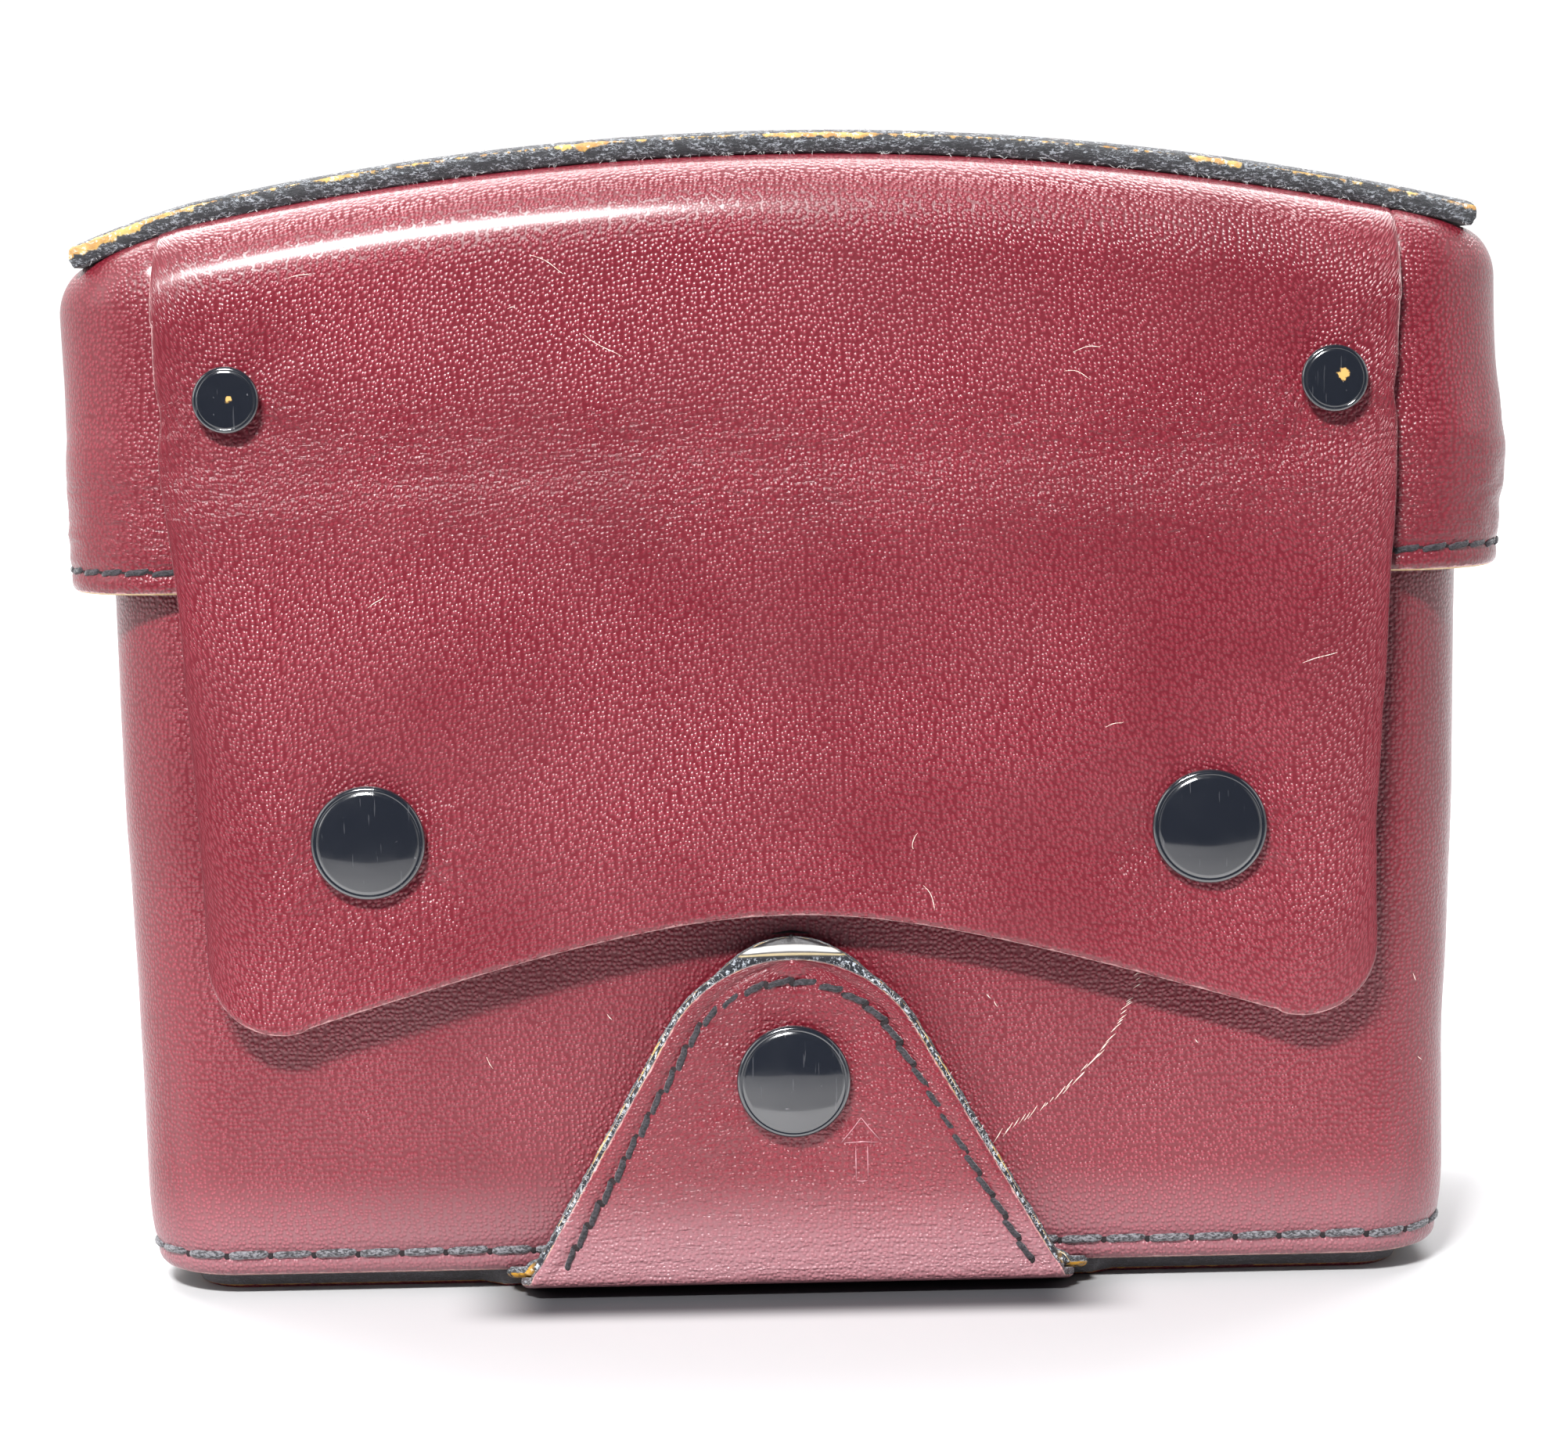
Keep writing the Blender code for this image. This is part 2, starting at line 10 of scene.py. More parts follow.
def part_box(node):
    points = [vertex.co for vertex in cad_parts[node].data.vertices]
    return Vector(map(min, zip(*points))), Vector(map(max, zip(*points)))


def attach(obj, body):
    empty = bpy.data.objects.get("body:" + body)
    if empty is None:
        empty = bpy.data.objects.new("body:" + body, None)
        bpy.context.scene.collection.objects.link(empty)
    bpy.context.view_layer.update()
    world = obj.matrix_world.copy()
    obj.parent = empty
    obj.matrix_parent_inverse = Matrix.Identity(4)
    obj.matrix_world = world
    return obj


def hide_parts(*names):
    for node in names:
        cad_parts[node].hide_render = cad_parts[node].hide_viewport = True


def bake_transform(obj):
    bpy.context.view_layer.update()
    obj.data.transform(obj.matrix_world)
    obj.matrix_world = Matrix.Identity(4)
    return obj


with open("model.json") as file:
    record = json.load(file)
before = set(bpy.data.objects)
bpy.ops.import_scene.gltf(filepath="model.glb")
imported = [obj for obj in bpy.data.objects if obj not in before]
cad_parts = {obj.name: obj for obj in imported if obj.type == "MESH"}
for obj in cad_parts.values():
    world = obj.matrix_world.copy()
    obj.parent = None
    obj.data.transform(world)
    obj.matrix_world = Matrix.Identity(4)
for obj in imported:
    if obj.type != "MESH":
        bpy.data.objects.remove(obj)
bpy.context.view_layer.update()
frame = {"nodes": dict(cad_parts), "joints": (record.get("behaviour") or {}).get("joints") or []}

MM = 0.001
RNG = np.random.default_rng(7)
JOINTS = {joint["name"]: Vector(joint["pos_m"]) for joint in frame["joints"]}


def low(node):
    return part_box(node)[0]


def high(node):
    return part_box(node)[1]


def middle(node):
    return (low(node) + high(node)) / 2


def half_width(node):
    return (high(node).x - low(node).x) / 2


# ---------------------------------------------------------------- sizes, read from the frame

FLAP_OUT = low("front_flap").y
FLAP_T = high("front_flap").y - FLAP_OUT
FLAP_HALF_FOLD = high("front_flap").x
FLAP_HALF_TOP = high("flap_root").x
FLAP_FOLD_Z = JOINTS["flap_fold"].z
SHELL_FRONT = low("body_shell").y
SHELL_BACK = high("body_shell").y
SHELL_HALF_HIGH = high("body_shell").x
SHELL_BOTTOM = low("body_shell").z
SHELL_TOP = high("body_shell").z
SKIRT_FRONT = low("lid_skirt").y
SKIRT_HALF = high("lid_skirt").x
LID_HEM = low("lid_skirt").z
LID_TOP = high("top_panel").z
TOP_FRONT = low("top_panel").y
SPINE_BACK = high("top_panel").y
BACK_HALF = high("back_panel").x
LID_HINGE_Z = JOINTS["lid_hinge"].z
BASE_T = high("base_panel").z
BASE_HALF = high("base_panel").x
TAB_COVER_OUT = low("tab_cover").y
TAB_COVER_T = high("tab_cover").y - TAB_COVER_OUT
TAB_BACKING_OUT = low("tab_backing").y
TAB_BACKING_T = high("tab_backing").y - TAB_BACKING_OUT
TAB_TOP = high("tab_cover").z

# Shape values that the frame's boxes don't give
SPINE_T = 2.5 * MM
SHELL_T = 1.8 * MM
SKIRT_T = 1.4 * MM
TOP_HALF = 76.0 * MM
ARCH_DROP = 9.3 * MM
ARCH_SAG = 1.4 * MM
SHELL_HALF_LOW = 73.4 * MM
SHELL_CORNER = 11.0 * MM
SHELL_BACK_CORNER = 5.0 * MM
LID_CORNER = 12.0 * MM
SHOULDER_H = 8.5 * MM
SHOULDER_INSET = 5.2 * MM
SIDE_SHOULDER_H = 4.6 * MM
SIDE_SHOULDER_INSET = 3.4 * MM
SPINE_BEND = 7.0 * MM
FLAP_HALF_MID = 64.6 * MM
FLAP_MID_Z = 66.0 * MM
FLAP_HALF_LOW = 63.9 * MM
FLAP_CORNER = 8.0 * MM
FLAP_CORNER_Z = 38.8 * MM
ARCH_APEX_Z = 43.0 * MM
ARCH_ROUND = 8.0 * MM
ARCH_SLOPE = 0.335
ARCH_END_LEAN = math.radians(16.6)
TAB_TOP_R = 15.4 * MM
TAB_LEAN = math.radians(29.65)
TAB_EDGE_SHOWING = 0.4 * MM
TAB_CREST = 1.7 * MM
TAB_CREST_HALF = 8.6 * MM
TAB_ROOT_FLARE = 2.2 * MM
FOLD_LIFT = 1.3 * MM
HEM_STITCH = 2.3 * MM
TAB_STITCH_INSET = 2.4 * MM
GAP = 0.3 * MM
BACK_SEAM_Z = 48.0 * MM
BACK_TAPER = 2.0 * MM
UNDER_SEAM_Y = TAB_COVER_OUT + 8.0 * MM

# Camera: lens in millimetres, places in metres, tip and roll in degrees
CAMERA_LENS = 85.28
CAMERA_DISTANCE = 0.4
CAMERA_HEIGHT = 0.110
CAMERA_X = -0.3 * MM
CAMERA_TIP = 6.543
CAMERA_ROLL = -1.15

# Sheets: reach of the edge's rounding in roundings, relief carried to the inside, reach of the edge mask for
# wear and a painted edge highlight
ROUNDING_REACH = 2.2
RELIEF_INSIDE = 0.8
EDGE_WEAR_AND_HIGHLIGHT_REACH = 0.55 * MM


# ---------------------------------------------------------------- numbers and outlines

def lattice(ix, iy, seed):
    """Repeatable pseudo-random value from -1 to 1 at whole-number points."""
    mixed = (ix * 374761393 + iy * 668265263 + seed * 974634777) & 0xFFFFFFFF
    mixed = ((mixed ^ (mixed >> 13)) * 1274126177) & 0xFFFFFFFF
    return ((mixed ^ (mixed >> 16)) & 0xFFFF) / 32767.5 - 1.0


def noise(u, v, seed=0):
    """Smooth value noise from -1 to 1; u and v are arrays in cells."""
    u, v = np.broadcast_arrays(np.asarray(u, float), np.asarray(v, float))
    iu = np.floor(u).astype(np.int64)
    iv = np.floor(v).astype(np.int64)
    fu = u - iu
    fv = v - iv
    su = fu * fu * (3 - 2 * fu)
    sv = fv * fv * (3 - 2 * fv)
    bottom = lattice(iu, iv, seed) * (1 - su) + lattice(iu + 1, iv, seed) * su
    top = lattice(iu, iv + 1, seed) * (1 - su) + lattice(iu + 1, iv + 1, seed) * su
    return bottom * (1 - sv) + top * sv


def ridges(u, v, seed=0):
    """Sharp-bottomed creases: 0 on the land, down to -1 along winding lines."""
    return -np.clip(1 - np.abs(noise(u, v, seed)) * 5, 0, 1)


def bell(distance, width):
    return np.exp(-(np.asarray(distance) / width) ** 2)


def waves(height, u, u_cell, v, v_cell, seed):
    """Smooth unevenness in cells of a size; the height and the sizes are in millimetres."""
    return height * MM * noise(u / (u_cell * MM), v / (v_cell * MM), seed)


def band(height, distance, width):
    """A ridge, or a groove if the height is negative, where distance is 0; both sizes are in millimetres."""
    return height * MM * bell(distance, width * MM)


def row(x, y, z):
    """A line of points from coordinates that are arrays or single numbers."""
    return np.stack(np.broadcast_arrays(x, y, z), -1)


def quarter_turn(stations):
    """Angles of a quarter turn, without its start."""
    return [math.radians(turn) for turn in np.linspace(0, 90, stations)[1:]]


def step_up(value, start, end):
    share = np.clip((np.asarray(value) - start) / (end - start), 0, 1)
    return share * share * (3 - 2 * share)


def straight(begin, end, spacing):
    """Evenly spaced points of a straight line, without its end."""
    count = max(1, int(math.dist(begin, end) / spacing))
    return [(begin[0] + (end[0] - begin[0]) * i / count, begin[1] + (end[1] - begin[1]) * i / count)
            for i in range(count)]


def arc(centre_x, centre_y, radius, start, steps):
    """Points of a quarter circle that starts at an angle in degrees, without its end."""
    angles = [math.radians(start + 90 * i / steps) for i in range(steps)]
    return [(centre_x + radius * math.cos(angle), centre_y + radius * math.sin(angle)) for angle in angles]


def arch_z(x):
    """Height of the lid's top along its arch; the left end has sagged a little."""
    x = np.asarray(x)
    sag = np.clip((-x - 63 * MM) / (13 * MM), 0, 1) ** 1.4
    return LID_TOP - ARCH_DROP * (x / TOP_HALF) ** 2 - ARCH_SAG * sag


# ---------------------------------------------------------------- meshes

OUTER_FACE, CUT_EDGE, INNER_FACE = range(3)


def unit(vectors):
    return vectors / (np.linalg.norm(vectors, axis=-1, keepdims=True) + 1e-12)


def new_mesh_object(name, verts, faces, face_mats, mats):
    mesh = bpy.data.meshes.new(name)
    mesh.from_pydata([tuple(v) for v in verts], [], [tuple(f) for f in faces])
    for mat in mats:
        mesh.materials.append(mat)
    mesh.polygons.foreach_set("material_index", np.asarray(face_mats, dtype=np.int32))
    mesh.update()
    mesh.shade_smooth()
    obj = bpy.data.objects.new(name, mesh)
    bpy.context.scene.collection.objects.link(obj)
    return obj


def grid_normals(points, closed):
    across = np.gradient(points, axis=1)
    if closed:
        across = (np.roll(points, -1, 1) - np.roll(points, 1, 1)) / 2
    return unit(np.cross(across, np.gradient(points, axis=0)))


def running_length(points, axis):
    steps = np.linalg.norm(np.diff(points, axis=axis), axis=2)
    start = np.zeros_like(points[..., 0].take([0], axis=axis))
    return np.concatenate([start, np.cumsum(steps, axis=axis)], axis=axis)


def edge_distance(points, closed):
    """Distance of each grid point from the sheet's nearest free edge, along the surface."""
    down = running_length(points, 0)
    distance = np.minimum(down, down[-1:] - down)
    if not closed:
        side = running_length(points, 1)
        distance = np.minimum(distance, np.minimum(side, side[:, -1:] - side))
    return distance


def leather_sheet(name, points, thickness, mats, closed=False, relief=None, edge_round=0.25 * MM,
                  bulge=0.15 * MM, fuzz=0.0, rim_steps=4, dyed_rows=0, seed=1):
    """A thick piece of leather from a grid of outer points, with rounded cut edges all round.

    mats are the outer face, the cut edge and the inner face. relief is a height for each point,
    along the outward normal. The normal is across x along, so columns run left to right as seen
    from outside when rows run upwards. dyed_rows rows of the outer face count as cut edge."""
    rows, cols = points.shape[:2]
    relief = np.zeros((rows, cols)) if relief is None else relief
    distance = edge_distance(points, closed)
    normals = grid_normals(points, closed)
    rounding = edge_round * np.clip(1 - distance / (ROUNDING_REACH * edge_round), 0, 1) ** 2
    outer = points + normals * (relief - rounding)[..., None]
    inner = points + normals * (relief * RELIEF_INSIDE - thickness)[..., None]

    index = np.arange(rows * cols).reshape(rows, cols)
    right = np.roll(index, -1, 1) if closed else index[:, 1:]
    left = index if closed else index[:, :-1]
    outer_faces = np.stack([left[:-1], right[:-1], right[1:], left[1:]], -1).reshape(-1, 4)
    faces = [outer_faces, outer_faces[:, ::-1] + rows * cols]
    outer_kinds = np.full(left[:-1].shape, OUTER_FACE)
    outer_kinds[:dyed_rows] = CUT_EDGE
    kinds = [outer_kinds.reshape(-1), np.full(len(outer_faces), INNER_FACE)]

    across = running_length(points, 1)
    skin = row(across - across[:, -1:] / 2, running_length(points, 0), 0.0).reshape(-1, 3)
    outer, inner, flat = outer.reshape(-1, 3), inner.reshape(-1, 3), points.reshape(-1, 3)
    verts = [outer, inner]
    # Edge mask for the shaders: wear, and with the rose edge colour also a painted highlight along the cut
    # edge.
    wear = [np.exp(-distance / EDGE_WEAR_AND_HIGHLIGHT_REACH).reshape(-1), np.zeros(rows * cols)]
    skins = [skin, skin]
    total = 2 * rows * cols
    for loop, inner_loop in rim_loops(index, closed):
        outwards = unit(flat[loop] - flat[inner_loop])
        previous = loop
        for k in range(1, rim_steps):
            share = k / rim_steps
            rough = fuzz * noise(np.arange(len(loop)) * 0.61, k * 1.7, seed + k)
            swell = bulge * math.sin(math.pi * share) + rough
            verts.append(outer[loop] * (1 - share) + inner[loop] * share + outwards * swell[:, None])
            wear.append(np.full(len(loop), 1 - share))
            skins.append(skin[loop])
            current = total + np.arange(len(loop))
            total += len(loop)
            faces.append(rim_quads(previous, current))
            previous = current
        faces.append(rim_quads(previous, loop + rows * cols))
        kinds.append(np.full(len(loop) * rim_steps, CUT_EDGE))
    obj = new_mesh_object(name, np.concatenate(verts), np.concatenate(faces), np.concatenate(kinds), mats)
    attribute = obj.data.attributes.new("edge", 'FLOAT', 'POINT')
    attribute.data.foreach_set("value", np.concatenate(wear).astype(np.float32))
    attribute = obj.data.attributes.new("skin", 'FLOAT_VECTOR', 'POINT')
    attribute.data.foreach_set("vector", np.concatenate(skins).astype(np.float32).reshape(-1))
    return obj


def rim_loops(index, closed):
    """Pairs of loops: the grid's edge points, and for each of them its neighbour further in."""
    if closed:
        return [(index[0], index[1]), (index[-1][::-1], index[-2][::-1])]
    edge = np.concatenate([index[0], index[1:, -1], index[-1, -2::-1], index[-2:0:-1, 0]])
    core = np.pad(index[1:-1, 1:-1], 1, mode="edge")
    return [(edge, core.reshape(-1)[edge])]


def rim_quads(upper, lower):
    return np.stack([upper, lower, np.roll(lower, -1), np.roll(upper, -1)], -1)


def tube_faces(rings, sides):
    """Quads between neighbouring rings of points, and a cap on the first and the last ring."""
    index = np.arange(rings * sides).reshape(rings, sides)
    right = np.roll(index, -1, 1)
    quads = np.stack([index[:-1], right[:-1], right[1:], index[1:]], -1).reshape(-1, 4)
    return [tuple(face) for face in [*quads.tolist(), index[0, ::-1].tolist(), index[-1].tolist()]]


def lathe(name, profile, centre, mat, segments=72):
    """A turned piece facing the front: profile is (radius, height towards the front) in metres."""
    angles = np.linspace(0, math.tau, segments, endpoint=False)
    rings = [row(radius * np.cos(angles), -height, radius * np.sin(angles)) for radius, height in profile]
    faces = [face[::-1] for face in tube_faces(len(profile), segments)]
    return new_mesh_object(name, np.concatenate(rings) + np.asarray(centre), faces, [0] * len(faces), [mat])


# ---------------------------------------------------------------- materials

class Nodes:
    """Short calls that add and link shader nodes."""

    def __init__(self, tree):
        self.nodes = tree.nodes
        self.links = tree.links

    def put(self, value, socket):
        """Link a socket, or set a number or colour."""
        if isinstance(value, bpy.types.NodeSocket):
            self.links.new(value, socket)
        elif socket.type == 'RGBA':
            socket.default_value = (*value, 1.0)
        else:
            socket.default_value = value

    def add(self, kind, inputs, **settings):
        """A node with its settings, and its inputs put by their names or numbers."""
        node = self.nodes.new("ShaderNode" + kind)
        for key, value in settings.items():
            setattr(node, key, value)
        for key, value in inputs.items():
            self.put(value, node.inputs[key])
        return node

    def math(self, operation, a, b=0.0, c=0.0):
        return self.add("Math", {0: a, 1: b, 2: c}, operation=operation).outputs[0]

    def times(self, a, b):
        return self.math('MULTIPLY', a, b)

    def ragged(self, value, noise, amount):
        """The value moved up and down by a noise, so that a border drawn where it changes is uneven."""
        return self.math('MULTIPLY_ADD', self.math('SUBTRACT', noise, 0.5), amount, value)

    def vector(self, operation, *values):
        node = self.add("VectorMath", dict(enumerate(values)), operation=operation)
        return node.outputs["Value" if operation in ('DISTANCE', 'LENGTH') else "Vector"]

    def remap(self, value, start, end, low_out=0.0, high_out=1.0):
        ends = {"Value": value, "From Min": start, "From Max": end, "To Min": low_out, "To Max": high_out}
        return self.add("MapRange", ends, interpolation_type='SMOOTHSTEP').outputs[0]

    def mix(self, share, a, b):
        return self.add("Mix", {0: share, 6: a, 7: b}, data_type='RGBA').outputs[2]


class Shader(Nodes):
    """The nodes of one new material, with the object's own coordinates."""

    def __init__(self, name):
        self.material = bpy.data.materials.new(name)
        self.material.use_nodes = True
        super().__init__(self.material.node_tree)
        self.coords = self.add("TexCoord", {}).outputs["Object"]
        self.x, self.y, self.z = self.add("SeparateXYZ", {0: self.coords}).outputs

    def stretched(self, scale, turn=(0, 0, 0)):
        return self.add("Mapping", {"Scale": scale, "Rotation": turn, "Vector": self.coords}).outputs[0]

    def noise(self, scale, detail=3.0, vector=None, rough=0.55, distortion=0.0):
        sizes = {"Scale": scale, "Detail": detail, "Roughness": rough, "Distortion": distortion}
        return self.add("TexNoise", {"Vector": vector or self.coords, **sizes}).outputs[0]

    def pebbles(self, scale, vector, scatter=0.75):
        """Distance from the nearest of many evenly scattered points on the leather's flat skin."""
        inputs = {"Scale": scale, "Randomness": scatter, "Vector": vector}
        return self.add("TexVoronoi", inputs, voronoi_dimensions='2D').outputs["Distance"]

    def warped(self, vector, scale, amount):
        """The vector pushed about by a noise, so that straight patterns wander."""
        push = self.add("TexNoise", {"Scale": scale, "Detail": 2.0, "Vector": self.coords})
        return self.vector('MULTIPLY_ADD', push.outputs["Color"], (amount, amount, amount), vector)

    def attribute(self, name, output="Fac"):
        return self.add("Attribute", {}, attribute_name=name).outputs[output]

    def bump(self, height, distance, strength=1.0, normal=None):
        inputs = {"Strength": strength, "Distance": distance, "Height": height}
        if normal is not None:
            inputs["Normal"] = normal
        return self.add("Bump", inputs).outputs[0]

    def finish(self, colour, roughness, normal=None, **fixed):
        """The material, with its colour, roughness and normal, and numbers that are the same all over."""
        inputs = self.nodes["Principled BSDF"].inputs
        self.put(colour, inputs["Base Color"])
        self.put(roughness, inputs["Roughness"])
        if normal is not None:
            self.put(normal, inputs["Normal"])
        for key, value in fixed.items():
            self.put(value, inputs[key.replace("_", " ")])
        return self.material


BURGUNDY = (0.196, 0.0080, 0.0200)
BURGUNDY_VALLEY_SHADE = (0.085, 0.004, 0.009)
BURGUNDY_PALE = (0.36, 0.085, 0.115)
PAINTED_PEBBLE_HIGHLIGHT = (0.40, 0.075, 0.110)
TABLE_REFLECTION_ROSE = (0.44, 0.24, 0.27)
ROSE_EDGE_WEAR_AND_HIGHLIGHT = (0.52, 0.26, 0.26)
PEBBLE_SCALE = 1900.0
CRINKLE_CELLS = (330, 330, 1300)
GRAIN_DEPTH = 0.10 * MM
CRINKLE_DEPTH = 0.24 * MM
UNEVEN_DEPTH = 0.50 * MM
UNCREASED = 0.06
TAN = (0.62, 0.30, 0.06)
BLACK_DYE = (0.014, 0.015, 0.020)
LINT = (0.60, 0.64, 0.70)


def radial_wrinkles(s, nodes, reach):
    """Height of fine folds that fan out below each fastener."""
    flat = (1.0, 0.0, 1.0)
    total = None
    for node in nodes:
        centre = middle(node)
        radius = half_width(node)
        offset = s.vector('SUBTRACT', s.coords, (centre.x, 0.0, centre.z + radius))
        offset = s.vector('MULTIPLY', offset, flat)
        direction = s.vector('NORMALIZE', offset)
        fan = s.vector('MULTIPLY_ADD', offset, (50.0, 50.0, 50.0), direction)
        streaks = s.noise(7.5, 3.0, fan, distortion=0.7)
        away = s.vector('DISTANCE', s.vector('MULTIPLY', s.coords, flat), (centre.x, 0.0, centre.z))
        past_rim = s.remap(away, radius, radius + 1.2 * MM)
        near = s.times(past_rim, s.remap(away, radius, radius + reach, 1, 0))
        near = s.times(near, s.remap(s.z, centre.z + radius, centre.z - radius * 0.6))
        folds = s.times(s.math('SUBTRACT', streaks, 0.5), near)
        total = folds if total is None else s.math('ADD', total, folds)
    return total


def grained_leather(name, crease_z=None, crease_height=9 * MM, crease_gain=1.0, tone=1.0,
                    edge_colour=ROSE_EDGE_WEAR_AND_HIGHLIGHT, fasteners=(), painted_foot_reflection=0.0, pebble_highlight_gain=1.0):
    """Glossy oxblood leather: pebble grain with painted highlights on its tops and painted shade between
    them, crinkled zones, smudges, wear along cut edges (partly a painted edge highlight) and an optional
    painted reflection of the table towards the foot.
    """
    s = Shader(name)
    pebbles = s.pebbles(PEBBLE_SCALE, s.warped(s.attribute("skin", "Vector"), 500.0, 0.25 * MM))
    broken = s.noise(3600.0, 2.0)
    patches = s.noise(34.0, 3.0)
    dome = s.remap(pebbles, 0.05, 0.62, 1.0, 0.0)
    height = s.times(dome, s.remap(patches, 0.3, 0.7, 0.7, 1.1))
    height = s.math('MULTIPLY_ADD', broken, 0.25, height)
    if crease_z is None:
        mask = UNCREASED
    else:
        away = s.math('ABSOLUTE', s.math('SUBTRACT', s.z, crease_z))
        mask = s.remap(away, crease_height * 0.2, crease_height, crease_gain, UNCREASED)
    crinkle = s.noise(1.0, 3.0, s.stretched(CRINKLE_CELLS), distortion=0.9)
    crinkle = s.times(crinkle, mask)
    normal = s.bump(height, GRAIN_DEPTH, 0.9)
    normal = s.bump(crinkle, CRINKLE_DEPTH, 0.9, normal)
    normal = s.bump(s.noise(120.0, 3.0), UNEVEN_DEPTH, 0.3, normal)
    if fasteners:
        normal = s.bump(radial_wrinkles(s, fasteners, 11 * MM), 0.32 * MM, 0.9, normal)

    colour = s.mix(s.remap(patches, 0.25, 0.75), tuple(c * tone * 0.74 for c in BURGUNDY),
                   tuple(c * tone for c in BURGUNDY))
    # Painted shade: the leather darkens between the pebbles, in the grain's hollows.
    colour = s.mix(s.times(s.remap(pebbles, 0.25, 0.60), 0.5), colour, BURGUNDY_VALLEY_SHADE)
    # Painted highlight: paler dots on the pebble tops stand in for glints of light on the grain.
    pebble_highlights = s.times(s.remap(pebbles, 0.10, 0.28, 1.0, 0.0),
                  s.remap(patches, 0.3, 0.7, 0.18 * pebble_highlight_gain, 0.42 * pebble_highlight_gain))
    if crease_z is not None:
        pebble_highlights = s.times(pebble_highlights, s.remap(mask, 0.1, 0.9, 1.0, 0.35))
    colour = s.mix(pebble_highlights, colour, PAINTED_PEBBLE_HIGHLIGHT)
    # Painted reflection: paler towards the foot, standing in for the bright table reflected in the low
    # leather.
    colour = s.mix(s.remap(s.z, 3 * MM, 15 * MM, painted_foot_reflection, 0.0), colour, TABLE_REFLECTION_ROSE)
    scuffs = s.remap(s.noise(420.0, 4.0, s.stretched((1, 1, 0.3), (0, 0.7, 0)), rough=0.7), 0.715, 0.76)
    colour = s.mix(s.times(scuffs, 0.35), colour, BURGUNDY_PALE)
    edge = s.attribute("edge")
    ragged = s.ragged(edge, s.noise(900.0, 4.0), 0.9)
    # Wear along the cut edges; the default rose colour is partly a painted highlight of the lit edge.
    colour = s.mix(s.remap(ragged, 0.75, 1.0), colour, edge_colour)
    roughness = s.remap(s.noise(60.0, 4.0), 0.3, 0.7, 0.32, 0.42)
    return s.finish(colour, roughness, normal, Specular_IOR_Level=0.5, Coat_Weight=0.35, Coat_Roughness=0.2)


def cut_edge(name, worn_corner_x=None, base=BLACK_DYE, lint_gain=1.0, wear=1.0):
    """Black-dyed cut edge: fibrous, linty, and rubbed to natural tan along its outer corner."""
    s = Shader(name)
    fibre = s.noise(1.0, 5.0, s.stretched((2100, 3600, 5200), (0, 0.15, 0)), rough=0.8, distortion=0.6)
    clumps = s.noise(1.0, 4.0, s.stretched((600, 900, 1500)), rough=0.65)
    height = s.math('MULTIPLY_ADD', clumps, 0.8, fibre)
    normal = s.bump(height, 0.40 * MM, 1.0)
    lint = s.times(s.remap(fibre, 0.51, 0.57), s.remap(clumps, 0.40, 0.56))
    colour = s.mix(s.times(lint, 0.8 * lint_gain), base, LINT)
    reach = s.remap(s.noise(75.0, 3.0, rough=0.6), 0.50, 0.64, 0.02 * wear, 0.24 * wear)
    if worn_corner_x is not None:
        reach = s.math('MAXIMUM', reach, s.remap(s.x, *worn_corner_x, 0.42, 0.0))
    depth = s.math('SUBTRACT', 1.0, s.attribute("edge"))
    ragged = s.ragged(depth, s.noise(800.0, 4.0, rough=0.65), 0.9)
    rubbed = s.times(s.remap(s.math('SUBTRACT', reach, ragged), -0.04, 0.06), wear)
    worn = s.mix(s.remap(s.noise(500.0, 4.0), 0.4, 0.6), TAN, (0.85, 0.56, 0.14))
    worn = s.mix(s.remap(s.noise(1800.0, 4.0, rough=0.7), 0.54, 0.60), worn, (0.90, 0.84, 0.72))
    colour = s.mix(rubbed, colour, worn)
    return s.finish(colour, 0.85, normal, Sheen_Weight=0.25, Sheen_Roughness=0.5)


def flesh_side(name):
    """Napped inner side of the leather, dyed dark."""
    s = Shader(name)
    nap = s.noise(1900.0, 5.0, rough=0.7)
    colour = s.mix(s.remap(s.noise(45.0, 3.0), 0.3, 0.7), (0.03, 0.022, 0.025), (0.075, 0.05, 0.055))
    colour = s.mix(s.remap(nap, 0.35, 0.75, 0.0, 0.4), colour, (0.12, 0.10, 0.11))
    return s.finish(colour, 0.95, s.bump(nap, 0.2 * MM, 0.8), Sheen_Weight=0.4, Sheen_Roughness=0.6)


def flock(name):
    """Short dark flock of the linings."""
    s = Shader(name)
    nap = s.noise(2800.0, 4.0, rough=0.75)
    brushed = s.noise(1.0, 3.0, s.stretched((40, 40, 130), (0.4, 0, 0.5)))
    colour = s.mix(s.remap(brushed, 0.35, 0.65), (0.018, 0.017, 0.020), (0.040, 0.037, 0.042))
    colour = s.mix(s.remap(nap, 0.55, 0.75, 0.0, 0.35), colour, (0.09, 0.085, 0.09))
    return s.finish(colour, 0.96, s.bump(nap, 0.25 * MM, 0.9), Sheen_Weight=0.6, Sheen_Roughness=0.5)


